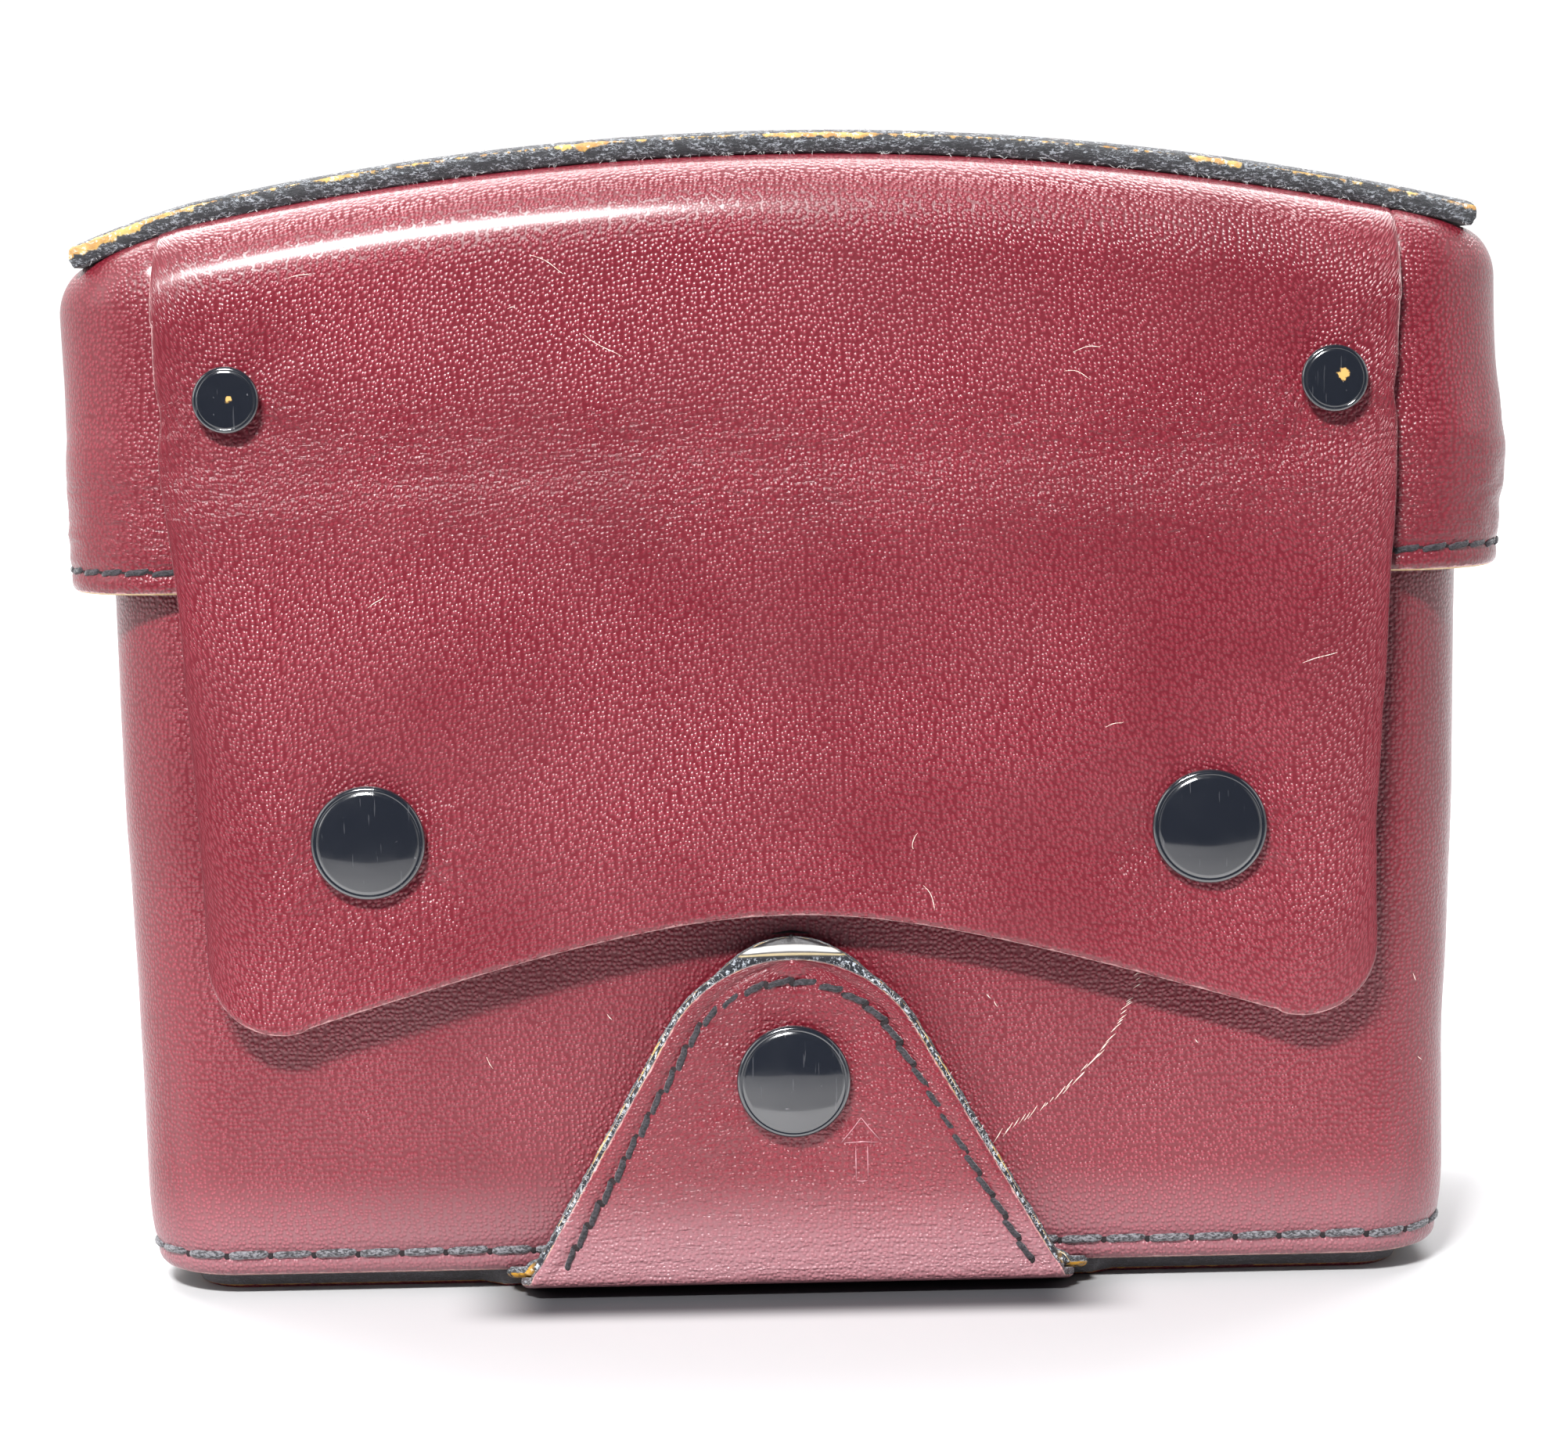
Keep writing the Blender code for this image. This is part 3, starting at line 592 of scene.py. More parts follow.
def enamel(name, worn_spot=None, spot_radius=0.5 * MM):
    """Gloss black enamel on brass, with fine scratches, dust and, where rubbed through, bare brass."""
    s = Shader(name)
    scratches = s.noise(1.0, 2.0, s.stretched((3000, 300, 240), (0, 0.9, 0)), rough=0.4)
    fine = s.remap(scratches, 0.68, 0.72)
    dust = s.remap(s.noise(2400.0, 2.0), 0.74, 0.80)
    colour = s.mix(s.times(fine, 0.25), (0.006, 0.007, 0.011), (0.10, 0.10, 0.11))
    colour = s.mix(s.times(dust, 0.35), colour, (0.30, 0.30, 0.32))
    roughness = s.math('MULTIPLY_ADD', fine, 0.18, s.remap(s.noise(300.0, 3.0), 0.3, 0.7, 0.10, 0.20))
    if worn_spot is not None:
        away = s.ragged(s.vector('DISTANCE', s.coords, worn_spot), s.noise(2100.0, 4.0), 1.1 * MM)
        rubbed = s.remap(away, spot_radius * 0.8, spot_radius * 1.1, 1.0, 0.0)
        colour = s.mix(rubbed, colour, (0.62, 0.36, 0.10))
        roughness = s.math('MULTIPLY_ADD', rubbed, 0.25, roughness)
    normal = s.bump(s.noise(150.0, 2.0), 0.08 * MM, 0.4)
    return s.finish(colour, roughness, normal, Specular_IOR_Level=0.8, Coat_Weight=1.0, Coat_Roughness=0.05)


def plated(name):
    """Aged nickel plate of the snap halves and posts."""
    s = Shader(name)
    stain = s.noise(900.0, 4.0)
    colour = s.mix(s.remap(stain, 0.4, 0.7), (0.62, 0.58, 0.50), (0.36, 0.29, 0.20))
    roughness = s.remap(s.noise(2400.0, 3.0), 0.3, 0.7, 0.22, 0.42)
    return s.finish(colour, roughness, s.bump(stain, 0.05 * MM, 0.3), Metallic=1.0)


def strand(name, light, dark):
    """Waxed twisted thread: light where the fibres are raised, dark in between."""
    s = Shader(name)
    twist = s.noise(1.0, 3.0, s.stretched((2600, 2600, 5200), (0, 0.7, 0)), rough=0.6)
    fuzz = s.noise(5200.0, 3.0)
    colour = s.mix(s.remap(twist, 0.38, 0.62), dark, light)
    return s.finish(colour, 0.75, s.bump(s.math('ADD', twist, fuzz), 0.12 * MM, 0.9),
                    Sheen_Weight=0.3, Sheen_Roughness=0.4)


def tab_backing_face():
    """Outer face of the tongue's backing: dyed black, bare where it stands above the cover, with a painted
    highlight stripe along the crest.
    """
    s = Shader("tab_backing_face")
    fibre = s.noise(2200.0, 5.0, rough=0.7)
    bare = s.remap(s.ragged(s.z, fibre, 0.8 * MM), TAB_TOP - 0.2 * MM, TAB_TOP + 0.3 * MM)
    across = s.math('DIVIDE', s.x, TAB_CREST_HALF)
    crest = s.math('MULTIPLY_ADD', s.times(across, across), -TAB_CREST, TAB_CREST)
    share = s.math('DIVIDE', s.math('SUBTRACT', s.z, TAB_TOP), s.math('MAXIMUM', crest, 0.1 * MM))
    # Painted highlight: a pale stripe across the crest stands in for the light on its curve.
    painted_crest_highlight = s.remap(s.math('ABSOLUTE', s.math('SUBTRACT', share, 0.64)), 0.10, 0.24, 1.0, 0.0)
    worn = s.remap(s.math('ABSOLUTE', s.math('SUBTRACT', share, 0.26)), 0.04, 0.12, 1.0, 0.0)
    pale = s.mix(s.times(worn, 0.8), (0.03, 0.028, 0.03), (0.50, 0.40, 0.22))
    pale = s.mix(painted_crest_highlight, pale, (0.66, 0.64, 0.60))
    colour = s.mix(bare, s.mix(s.remap(fibre, 0.52, 0.60, 0.0, 0.8), BLACK_DYE, LINT), pale)
    root_side = s.remap(s.math('ABSOLUTE', s.x), 28.5 * MM, 30.5 * MM)
    corner = s.times(root_side, s.remap(s.z, 6 * MM, 3 * MM))
    patch = s.times(corner, s.remap(s.noise(520.0, 3.0), 0.42, 0.52))
    colour = s.mix(patch, colour, (0.75, 0.38, 0.04))
    roughness = s.remap(bare, 0.0, 1.0, 0.85, 0.38)
    return s.finish(colour, roughness, s.bump(fibre, 0.12 * MM, 0.8))


def plain_rough(name, colour, spread, roughness=0.9):
    s = Shader(name)
    mottled = s.mix(s.remap(s.noise(1500.0, 4.0), 0.3, 0.7), colour, spread)
    return s.finish(mottled, roughness, s.bump(s.noise(2500.0, 4.0), 0.1 * MM, 0.6))


SNAP_CAPS = ("snap_cap_left", "snap_cap_right")
RIVET_CAPS = ("rivet_cap_left", "rivet_cap_right")
flap_leather = grained_leather("flap_leather", crease_z=FLAP_FOLD_Z - 2 * MM, crease_height=13 * MM,
                               fasteners=SNAP_CAPS + RIVET_CAPS)
skirt_leather = grained_leather("skirt_leather", crease_z=FLAP_FOLD_Z - 6 * MM, crease_height=11 * MM,
                                crease_gain=1.2)
body_leather = grained_leather("body_leather", tone=0.92, painted_foot_reflection=0.30)
spine_leather = grained_leather("spine_leather", edge_colour=TAN)
tab_leather = grained_leather("tab_leather", crease_z=12 * MM, crease_height=60 * MM, crease_gain=1.1,
                              fasteners=("snap_cap_tab",), painted_foot_reflection=0.45, pebble_highlight_gain=0.3)
thin_edge = plain_rough("thin_cut_edge", (0.30, 0.13, 0.14), (0.60, 0.42, 0.42))
lid_edge = cut_edge("lid_cut_edge", worn_corner_x=(-75 * MM, -58 * MM))
dyed_edge = cut_edge("dyed_cut_edge")
# Painted shade: a mid grey instead of the black dye, standing for the shadowed gap under the body's hem.
base_edge_shade = cut_edge("base_cut_edge_shade", base=(0.15, 0.135, 0.145), lint_gain=0.25, wear=0.0)
tab_edge = cut_edge("tab_cut_edge", base=(0.05, 0.02, 0.025))
backing_face = tab_backing_face()
lid_hem_edge = plain_rough("hem_cut_edge", (0.55, 0.36, 0.16), (0.70, 0.55, 0.36))
body_hem_edge = plain_rough("body_hem_edge", (0.30, 0.12, 0.12), (0.45, 0.28, 0.22))
inner_side = flesh_side("flesh_side")
lining = flock("lining_flock")
black_enamel = enamel("black_enamel")
nickel = plated("nickel_plate")
hem_thread = strand("hem_thread", (0.20, 0.195, 0.21), (0.02, 0.018, 0.021))
dark_thread = strand("dark_thread", (0.040, 0.034, 0.042), (0.005, 0.004, 0.006))
# Painted shade: near black for the shade inside needle holes and a pressed dent.
needle_hole_shade = plain_rough("needle_hole_shade", (0.006, 0.004, 0.005), (0.02, 0.01, 0.012))
scratch = plain_rough("scratch", (0.62, 0.42, 0.36), (0.85, 0.76, 0.68))
pressed_line = plain_rough("pressed_line", (0.38, 0.13, 0.16), (0.52, 0.30, 0.32), 0.45)
lint_fibre = plain_rough("lint_fibre", (0.45, 0.45, 0.48), (0.85, 0.84, 0.82))


# ---------------------------------------------------------------- front flap

def flap_bottom(x):
    """Height of the flap's lower edge: a shallow arch between two round corners."""
    x = np.abs(np.asarray(x, float))
    arch = ARCH_APEX_Z + ARCH_ROUND - np.hypot(ARCH_ROUND, ARCH_SLOPE * x)
    reach = np.clip((x - (FLAP_HALF_LOW - FLAP_CORNER)) / FLAP_CORNER, -1, 1)
    corner = FLAP_CORNER_Z - FLAP_CORNER * np.sqrt(np.clip(1 - reach ** 2, 0, 1))
    join = FLAP_HALF_LOW - FLAP_CORNER - FLAP_CORNER * math.sin(ARCH_END_LEAN)
    return np.where(x < join, arch, corner)


def flap_half(z):
    heights = [FLAP_CORNER_Z, FLAP_MID_Z - 12 * MM, FLAP_MID_Z + 10 * MM, FLAP_FOLD_Z, LID_TOP]
    halves = [FLAP_HALF_LOW, FLAP_HALF_LOW + 0.3 * MM, FLAP_HALF_MID + 0.9 * MM, FLAP_HALF_FOLD - 0.3 * MM,
              FLAP_HALF_TOP]
    return np.interp(z, heights, halves)


def pucker(x, z, nodes, depth, reach):
    """Leather drawn in round each fastener, with faint radial folds."""
    height = np.zeros_like(x)
    for node in nodes:
        centre = middle(node)
        away = np.hypot(x - centre.x, z - centre.z)
        past_rim = away - half_width(node)
        angle = np.arctan2(z - centre.z, x - centre.x)
        folds = noise(angle * 3.2 + 20, away / (9 * MM), 31) * bell(past_rim - 3 * MM, 5 * MM)
        height += 0.16 * MM * folds - depth * bell(np.maximum(past_rim, 0), reach)
    return height


def dense_ends(count, power=1.0):
    """Stations from -1 to 1, closer together near both ends."""
    even = np.linspace(-1, 1, count)
    return (1 - power) * even + power * np.sin(even * math.pi / 2)


def flap_points():
    """Grid of the flap from its lower edge up to the crease and over the lid's shoulder."""
    side = dense_ends(190, 0.93)
    tuck_y = SKIRT_FRONT + SHOULDER_INSET
    crown = SHOULDER_H + GAP + FLAP_T
    shoulder = LID_TOP - SPINE_T - 0.1 * MM - crown
    x = side * FLAP_HALF_TOP
    top = shoulder - (LID_TOP - arch_z(x))
    bottom = flap_bottom(side * FLAP_HALF_LOW)
    rows = []
    for share in np.concatenate([[1.0, 0.9978, 0.9950, 0.9915, 0.9870], np.linspace(0.98, 0.0, 118)]):
        z = top + (bottom - top) * share
        rows.append(row(side * flap_half(z), FLAP_OUT, z))
    for angle in quarter_turn(24):
        y = tuck_y + (FLAP_OUT - tuck_y) * math.cos(angle)
        rows.append(row(x, y, top + crown * math.sin(angle)))
    points = np.array(rows)
    points[-1, :, 1] += 0.8 * MM
    return points


def build_flap():
    points = flap_points()
    x, z = points[..., 0], points[..., 2]
    edge_wave = 0.28 * MM * noise(z / (17 * MM), np.sign(x) * 3.3, 5)
    edge_wave += 0.12 * MM * noise(z / (4 * MM), np.sign(x) * 7.1, 6)
    notch = band(0.45, z - 98.5 * MM, 2.2)
    points[..., 0] += np.sign(x) * np.abs(x / FLAP_HALF_TOP) ** 8 * (edge_wave - notch)
    points[..., 0] += np.minimum(x, 0) / FLAP_HALF_TOP * 0.8 * MM * step_up(z, 76 * MM, 98 * MM)
    above_fold = z - FLAP_FOLD_Z
    free_hang = step_up(above_fold, 3 * MM, -14 * MM)
    relief = (waves(0.42, x, 34, z, 24, 11) + waves(0.25, x, 15, z, 13, 12)) * free_hang
    relief -= band(0.22, above_fold - 1.5 * MM * noise(x / (20 * MM), 0.5, 9), 3.5)
    relief += band(0.16, above_fold + 7 * MM, 5)
    folded = step_up(np.abs(above_fold + 1 * MM), 10 * MM, 3 * MM)
    relief += folded * waves(0.09, x, 13, z, 1.9, 13)
    relief += folded * 0.05 * MM * ridges(x / (26 * MM), z / (2.6 * MM), 14)
    relief += pucker(x, z, SNAP_CAPS, 0.35 * MM, 7 * MM)
    relief += pucker(x, z, RIVET_CAPS, 0.40 * MM, 5 * MM)
    obj = leather_sheet("flap_leather", points, FLAP_T, (flap_leather, thin_edge, inner_side), relief=relief,
                        edge_round=0.28 * MM, bulge=0.1 * MM, seed=3)
    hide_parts("front_flap", "flap_root")
    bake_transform(obj)
    return points, relief


# ---------------------------------------------------------------- lid

def c_outline(half, front, back, radius, spacing):
    """Plan of a wall open at the back, from its left rear end round the front to the right one."""
    left = straight((-half, back), (-half, front + radius), spacing)
    left += arc(radius - half, front + radius, radius, 180, int(radius * math.pi / 2 / spacing))
    left += straight((radius - half, front), (0.0, front), spacing)
    return np.array(left + [(0.0, front)] + [(-x, y) for x, y in reversed(left)])


def spine_under_drop(y):
    """How far the underside of the spine leather lies below its flat top, past the bend at the back too."""
    past = np.maximum(0, y - (SPINE_BACK - SPINE_BEND))
    inner = SPINE_BEND - SPINE_T
    return np.where(past > 0, SPINE_BEND - np.sqrt(np.maximum(inner ** 2 - past ** 2, 0)), SPINE_T)


def skirt_points():
    """Grid of the lid's wall from its hem up and in over the shoulder, to just under the spine leather."""
    plan = c_outline(SKIRT_HALF, SKIRT_FRONT, SHELL_BACK - 0.5 * MM, LID_CORNER, 0.9 * MM)
    x0, y0 = plan[:, 0], plan[:, 1]
    levels = [(share, 0.0) for share in np.concatenate([[0, 0.006, 0.014], np.linspace(0.03, 1, 46)])]
    levels += [(1.0, angle) for angle in quarter_turn(14)]
    front_share = np.clip((SKIRT_FRONT + LID_CORNER - y0) / LID_CORNER, 0, 1)
    side_share = step_up(np.abs(x0), FLAP_HALF_TOP - 3 * MM, SKIRT_HALF - 2 * MM)
    inset = SHOULDER_INSET + (SIDE_SHOULDER_INSET - SHOULDER_INSET) * side_share
    shoulder_h = SHOULDER_H + (SIDE_SHOULDER_H - SHOULDER_H) * side_share
    rows = []
    for share, angle in levels:
        shrink = inset * (1 - math.cos(angle))
        x = x0 - np.sign(x0) * shrink * np.minimum(1, np.abs(x0) / (SKIRT_HALF - LID_CORNER)) ** 4
        y = y0 + shrink * front_share
        under_flap = step_up(np.abs(x), FLAP_HALF_TOP + 0.2 * MM, FLAP_HALF_TOP - 1.6 * MM) * (y < 0)
        lowered = 0.15 * MM + (FLAP_T + 3 * GAP) * under_flap
        top = arch_z(x) - spine_under_drop(y) - lowered
        wall = LID_HEM + (top - shoulder_h - LID_HEM) * share
        rows.append(row(x, y, wall + shoulder_h * math.sin(angle)))
    return np.array(rows)


def build_skirt():
    points = skirt_points()
    x, y, z = np.moveaxis(points, -1, 0)
    run = np.broadcast_to(running_length(points, 1)[:1], x.shape)
    creased = bell(z - 88 * MM, 8 * MM)
    relief = band(-0.30, z - LID_HEM - HEM_STITCH, 0.55)
    relief += waves(0.25, run, 22, z, 16, 21)
    relief += waves(0.16, run, 12, z, 2.0, 22) * creased
    relief += 0.22 * MM * ridges(run / (17 * MM), z / (2.7 * MM), 23) * creased
    relief += band(1.1, z - 92 * MM, 7) * step_up(x, 60 * MM, 78 * MM)
    relief += band(0.3, z - 90 * MM, 8) * step_up(-x, 66 * MM, 78 * MM)
    relief += 0.2 * MM * noise(run / (9 * MM), 0.3, 24) * bell(z - LID_HEM, 2.5 * MM)
    covered = step_up(np.abs(x), FLAP_HALF_TOP + 2 * MM, FLAP_HALF_TOP - 2 * MM) * step_up(y, 0.0, -10 * MM)
    relief = np.where(covered > 0.5, np.minimum(relief, 0.0), relief)
    obj = leather_sheet("skirt_leather", points, SKIRT_T, (skirt_leather, lid_hem_edge, inner_side),
                        relief=relief, edge_round=0.35 * MM, bulge=0.2 * MM, seed=8)
    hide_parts("lid_skirt")
    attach(obj, "lid")
    return points, relief


def spine_upper_points():
    """Grid of the spine leather from the lid's front edge over the top and down to the seam on the back."""
    columns = dense_ends(150, 0.75)
    bend_start = SPINE_BACK - SPINE_BEND
    front_edge = TOP_FRONT + np.array([0, 0.25, 0.55, 0.95, 1.5]) * MM
    path = [(y, 0.0, 0.0) for y in [*front_edge, *np.linspace(TOP_FRONT + 2.2 * MM, bend_start, 34)]]
    for angle in quarter_turn(14):
        path.append((bend_start + SPINE_BEND * math.sin(angle), SPINE_BEND * (1 - math.cos(angle)),
                     angle / (math.pi / 2)))
    rows = []
    for y, drop, turned in path:
        x = columns * (TOP_HALF + (SKIRT_HALF - TOP_HALF) * turned)
        x = x + np.minimum(x, 0) / TOP_HALF * 1.0 * MM * (1 - turned)
        rows.append(row(x, y, arch_z(x) - drop))
    bend_x, bend_z = rows[-1][:, 0], rows[-1][:, 2]
    lid_low = LID_HINGE_Z + 3 * MM
    for share in np.linspace(0, 1, 18)[1:]:
        rows.append(row(bend_x, SPINE_BACK, bend_z + (lid_low - bend_z) * share))
    for z in np.linspace(lid_low, BACK_SEAM_Z, 44)[1:]:
        half = BACK_HALF + (SKIRT_HALF - BACK_HALF) * step_up(z, LID_HINGE_Z - 5 * MM, lid_low)
        rows.append(row(columns * half, SPINE_BACK, z))
    return np.array(rows)


def build_spine_upper():
    points = spine_upper_points()
    x, y, z = np.moveaxis(points, -1, 0)
    run = running_length(points, 0)
    relief = waves(0.22, x, 30, run, 26, 41) * step_up(edge_distance(points, False), 0, 6 * MM)
    on_back = step_up(y, SPINE_BACK - 1 * MM, SPINE_BACK)
    relief -= band(0.45, z - LID_HINGE_Z, 3.2) * on_back
    relief += waves(0.14, x, 19, z, 1.7, 42) * bell(z - LID_HINGE_Z, 7 * MM) * on_back
    obj = leather_sheet("spine_upper_leather", points, SPINE_T, (spine_leather, lid_edge, inner_side),
                        relief=relief, edge_round=0.45 * MM, bulge=0.32 * MM, fuzz=0.10 * MM, rim_steps=7,
                        dyed_rows=3, seed=12)
    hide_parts("top_panel")
    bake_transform(obj)



# ---------------------------------------------------------------- body

def ring_outline(half, front, back, radius, back_radius, spacing=1.0 * MM):
    """Closed plan of the body, anticlockwise seen from above, starting at the back's middle."""
    corners = [(back_radius - half, back - back_radius, back_radius, 90),
               (radius - half, front + radius, radius, 180),
               (half - radius, front + radius, radius, 270),
               (half - back_radius, back - back_radius, back_radius, 0)]
    points = []
    previous = (0.0, back)
    for centre_x, centre_y, r, start in corners:
        corner = arc(centre_x, centre_y, r, start, max(6, int(r * math.pi / 2 / spacing * 1.6)))
        points += straight(previous, corner[0], spacing) + corner
        end = math.radians(start + 90)
        previous = (centre_x + r * math.cos(end), centre_y + r * math.sin(end))
    return np.array(points + straight(previous, (0.0, back), spacing))


def shell_half(z):
    share = (z - SHELL_BOTTOM) / (SHELL_TOP - SHELL_BOTTOM)
    return SHELL_HALF_LOW + (SHELL_HALF_HIGH - SHELL_HALF_LOW) * share


def shell_points():
    hem = SHELL_BOTTOM + np.array([0, 0.2, 0.45, 0.8, 1.2, 1.6, 2.0, 2.4, 2.8, 3.3, 4.0]) * MM
    plan = ring_outline(SHELL_HALF_LOW, SHELL_FRONT, SHELL_BACK, SHELL_CORNER, SHELL_BACK_CORNER)
    return np.array([row(plan[:, 0] * shell_half(z) / SHELL_HALF_LOW, plan[:, 1], z)
                     for z in [*hem, *np.linspace(SHELL_BOTTOM + 5 * MM, SHELL_TOP, 60)]])


def shell_relief(points):
    x, y, z = np.moveaxis(points, -1, 0)
    run = np.broadcast_to(running_length(points, 1)[:1], x.shape)
    at_back = step_up(y, SHELL_BACK - 6 * MM, SHELL_BACK - 1 * MM)
    relief = band(-0.32, z - SHELL_BOTTOM - HEM_STITCH, 0.6)
    relief -= 1.0 * MM * np.clip((12 * MM - z) / (12 * MM - SHELL_BOTTOM), 0, 1) ** 2
    relief += waves(0.28, run, 30, z, 26, 51) + waves(0.10, run, 11, z, 9, 52)
    relief -= 0.25 * MM * (1 + noise(run / (40 * MM), 0.5, 53)) * step_up(z, 60 * MM, SHELL_TOP)
    for node in ("snap_stud_left", "snap_stud_right", "snap_stud_tab"):
        centre = middle(node)
        flat = step_up(np.hypot(x - centre.x, z - centre.z), 16 * MM, 6 * MM) * (y < 0)
        relief = relief * (1 - flat) - 0.1 * MM * flat
    return relief * (1 - at_back) - 0.25 * MM * at_back


def build_shell():
    points = shell_points()
    relief = shell_relief(points)
    obj = leather_sheet("shell_leather", points, SHELL_T, (body_leather, body_hem_edge, inner_side),
                        closed=True, relief=relief, edge_round=0.4 * MM, bulge=0.2 * MM, seed=15)
    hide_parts("body_shell")
    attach(obj, "body")
    return points, relief


# ---------------------------------------------------------------- base and tongue

def spine_lower_points():
    """Grid of the spine leather from the seam on the back, round the lower edge, to the tongue's root."""
    columns = dense_ends(110, 0.75)
    setback = low("base_lining").y + 2.2 * MM
    bend = 3.0 * MM
    corner = 5.0 * MM
    low_half = BACK_HALF - BACK_TAPER
    path = [(SPINE_BACK, z, BACK_HALF - BACK_TAPER * (BACK_SEAM_Z - z) / BACK_SEAM_Z)
            for z in np.linspace(BACK_SEAM_Z, bend, 26)]
    path += [(SPINE_BACK - bend * (1 - math.cos(angle)), bend * (1 - math.sin(angle)), low_half)
             for angle in quarter_turn(9)]
    path += [(y, 0.0, np.interp(y, [setback, SPINE_BACK], [BASE_HALF, low_half]))
             for y in np.linspace(SPINE_BACK - bend, setback + corner, 24)[1:]]
    path += [(setback + corner * (1 - math.sin(angle)), 0.0, BASE_HALF - corner * (1 - math.cos(angle)))
             for angle in quarter_turn(8)]
    root = tab_half_at(0.0) + TAB_EDGE_SHOWING + TAB_ROOT_FLARE
    fillet = setback - 0.3 * MM - UNDER_SEAM_Y
    for angle in [0.0, *quarter_turn(6)]:
        sweep = math.sin(angle)
        path.append((setback - 0.05 * MM - fillet * sweep, 0.0, root + 2.5 * MM * (1 - sweep)))
    path.append((UNDER_SEAM_Y, 0.0, root))
    return np.array([row(columns * half, y, z) for y, z, half in path])


def build_spine_lower():
    points = spine_lower_points()
    x, z = points[..., 0], points[..., 2]
    relief = waves(0.12, x, 28, z, 20, 61) * step_up(z, 6 * MM, 14 * MM)
    obj = leather_sheet("spine_lower_leather", points, BASE_T, (spine_leather, base_edge_shade, inner_side),
                        relief=relief, edge_round=0.35 * MM, bulge=0.25 * MM, fuzz=0.08 * MM, rim_steps=6,
                        seed=17)
    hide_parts("base_panel", "back_panel")
    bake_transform(obj)


def tab_half_at(z, proud=0.0, top=TAB_TOP):
    """Half-width of the tongue at a height: a round top on straight leaning sides."""
    radius = TAB_TOP_R + proud
    above_centre = np.asarray(z, float) - (top - radius)
    join_x, join_z = radius * math.cos(TAB_LEAN), radius * math.sin(TAB_LEAN)
    circle = np.sqrt(np.clip(radius ** 2 - above_centre ** 2, 0, None))
    side = join_x + (join_z - above_centre) * math.tan(TAB_LEAN)
    return np.where(above_centre > join_z, circle, side)


def tongue_points(outer_y, bend, floor_z, proud=0.0, crest=0.0, flare=0.0):
    """Grid of a tongue layer: under the case, round the lower front edge and up to its round top."""
    columns = dense_ends(90, 0.9)
    radius = TAB_TOP_R + proud
    centre = TAB_TOP - TAB_TOP_R
    bend_z = floor_z + FOLD_LIFT
    path = []
    for y in np.linspace(UNDER_SEAM_Y, outer_y + bend, 8):
        share = (UNDER_SEAM_Y - y) / (UNDER_SEAM_Y - outer_y - bend)
        path.append((y, floor_z + FOLD_LIFT * share ** 1.5, tab_half_at(0.0, proud, TAB_TOP + proud)))
    upright = [(outer_y + bend * (1 - math.sin(angle)), bend_z + bend * (1 - math.cos(angle)))
               for angle in quarter_turn(10)]
    round_start = centre + radius * math.sin(TAB_LEAN)
    upright += [(outer_y, z) for z in np.linspace(bend_z + bend, round_start, 56)[1:]]
    path += [(y, z, tab_half_at(z, proud, TAB_TOP + proud)) for y, z in upright]
    round_top = np.concatenate([np.linspace(math.degrees(TAB_LEAN), 84, 22)[1:], [86, 87.6, 88.6, 89.4]])
    for angle in np.radians(round_top):
        half = radius * math.cos(angle)
        rise = crest * max(0.0, 1 - (half / TAB_CREST_HALF) ** 2)
        path.append((outer_y, centre + radius * math.sin(angle) + rise, half))
    return np.array([row(columns * (half + flare * max(0.0, 1 - z / (5.5 * MM)) ** 1.6), y, z)
                     for y, z, half in path])


def tab_tilt(z):
    """The tongue stands slightly off at its top, where it lies over the snap."""
    return 0.7 * MM * (step_up(z, 4 * MM, 30 * MM) - 1)


def build_tab():
    backing = tongue_points(TAB_BACKING_OUT, 2.0 * MM, TAB_COVER_T + 0.05 * MM, TAB_EDGE_SHOWING, TAB_CREST,
                            TAB_ROOT_FLARE)
    y, z = backing[..., 1], backing[..., 2]
    on_front = step_up(y, TAB_BACKING_OUT + 1 * MM, TAB_BACKING_OUT)
    relief = tab_tilt(z) * on_front - 0.9 * MM * step_up(z, TAB_TOP + 0.3 * MM, TAB_TOP + 2.2 * MM)
    upright = step_up(z[:, :1], 2 * MM, 8 * MM)
    thickness = 1.0 * MM + (TAB_BACKING_T - 1.4 * MM) * upright
    under = leather_sheet("tab_backing_leather", backing, thickness, (backing_face, dyed_edge, inner_side),
                          relief=relief, edge_round=0.35 * MM, bulge=0.2 * MM, fuzz=0.16 * MM, rim_steps=5,
                          seed=19)
    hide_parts("tab_backing")
    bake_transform(under)

    cover = tongue_points(TAB_COVER_OUT, 2.6 * MM, 0.0)
    x, y, z = np.moveaxis(cover, -1, 0)
    on_front = step_up(y, TAB_COVER_OUT + 1 * MM, TAB_COVER_OUT)
    from_stitches = np.abs(edge_distance(cover, False) - TAB_STITCH_INSET)
    relief = (waves(0.22, x, 12, z, 10, 71) - band(0.28, from_stitches, 0.6)) * on_front
    relief -= band(0.14, z - 4.0 * MM, 0.35) + band(0.1, z - 5.3 * MM, 0.3)
    relief += (pucker(x, z, ["snap_cap_tab"], 0.15 * MM, 5 * MM) + tab_tilt(z)) * on_front
    over = leather_sheet("tab_cover_leather", cover, TAB_COVER_T, (tab_leather, tab_edge, inner_side),
                         relief=relief, edge_round=0.3 * MM, bulge=0.12 * MM, fuzz=0.06 * MM, seed=23)
    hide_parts("tab_cover")
    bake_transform(over)
    return cover, relief


# ---------------------------------------------------------------- seams

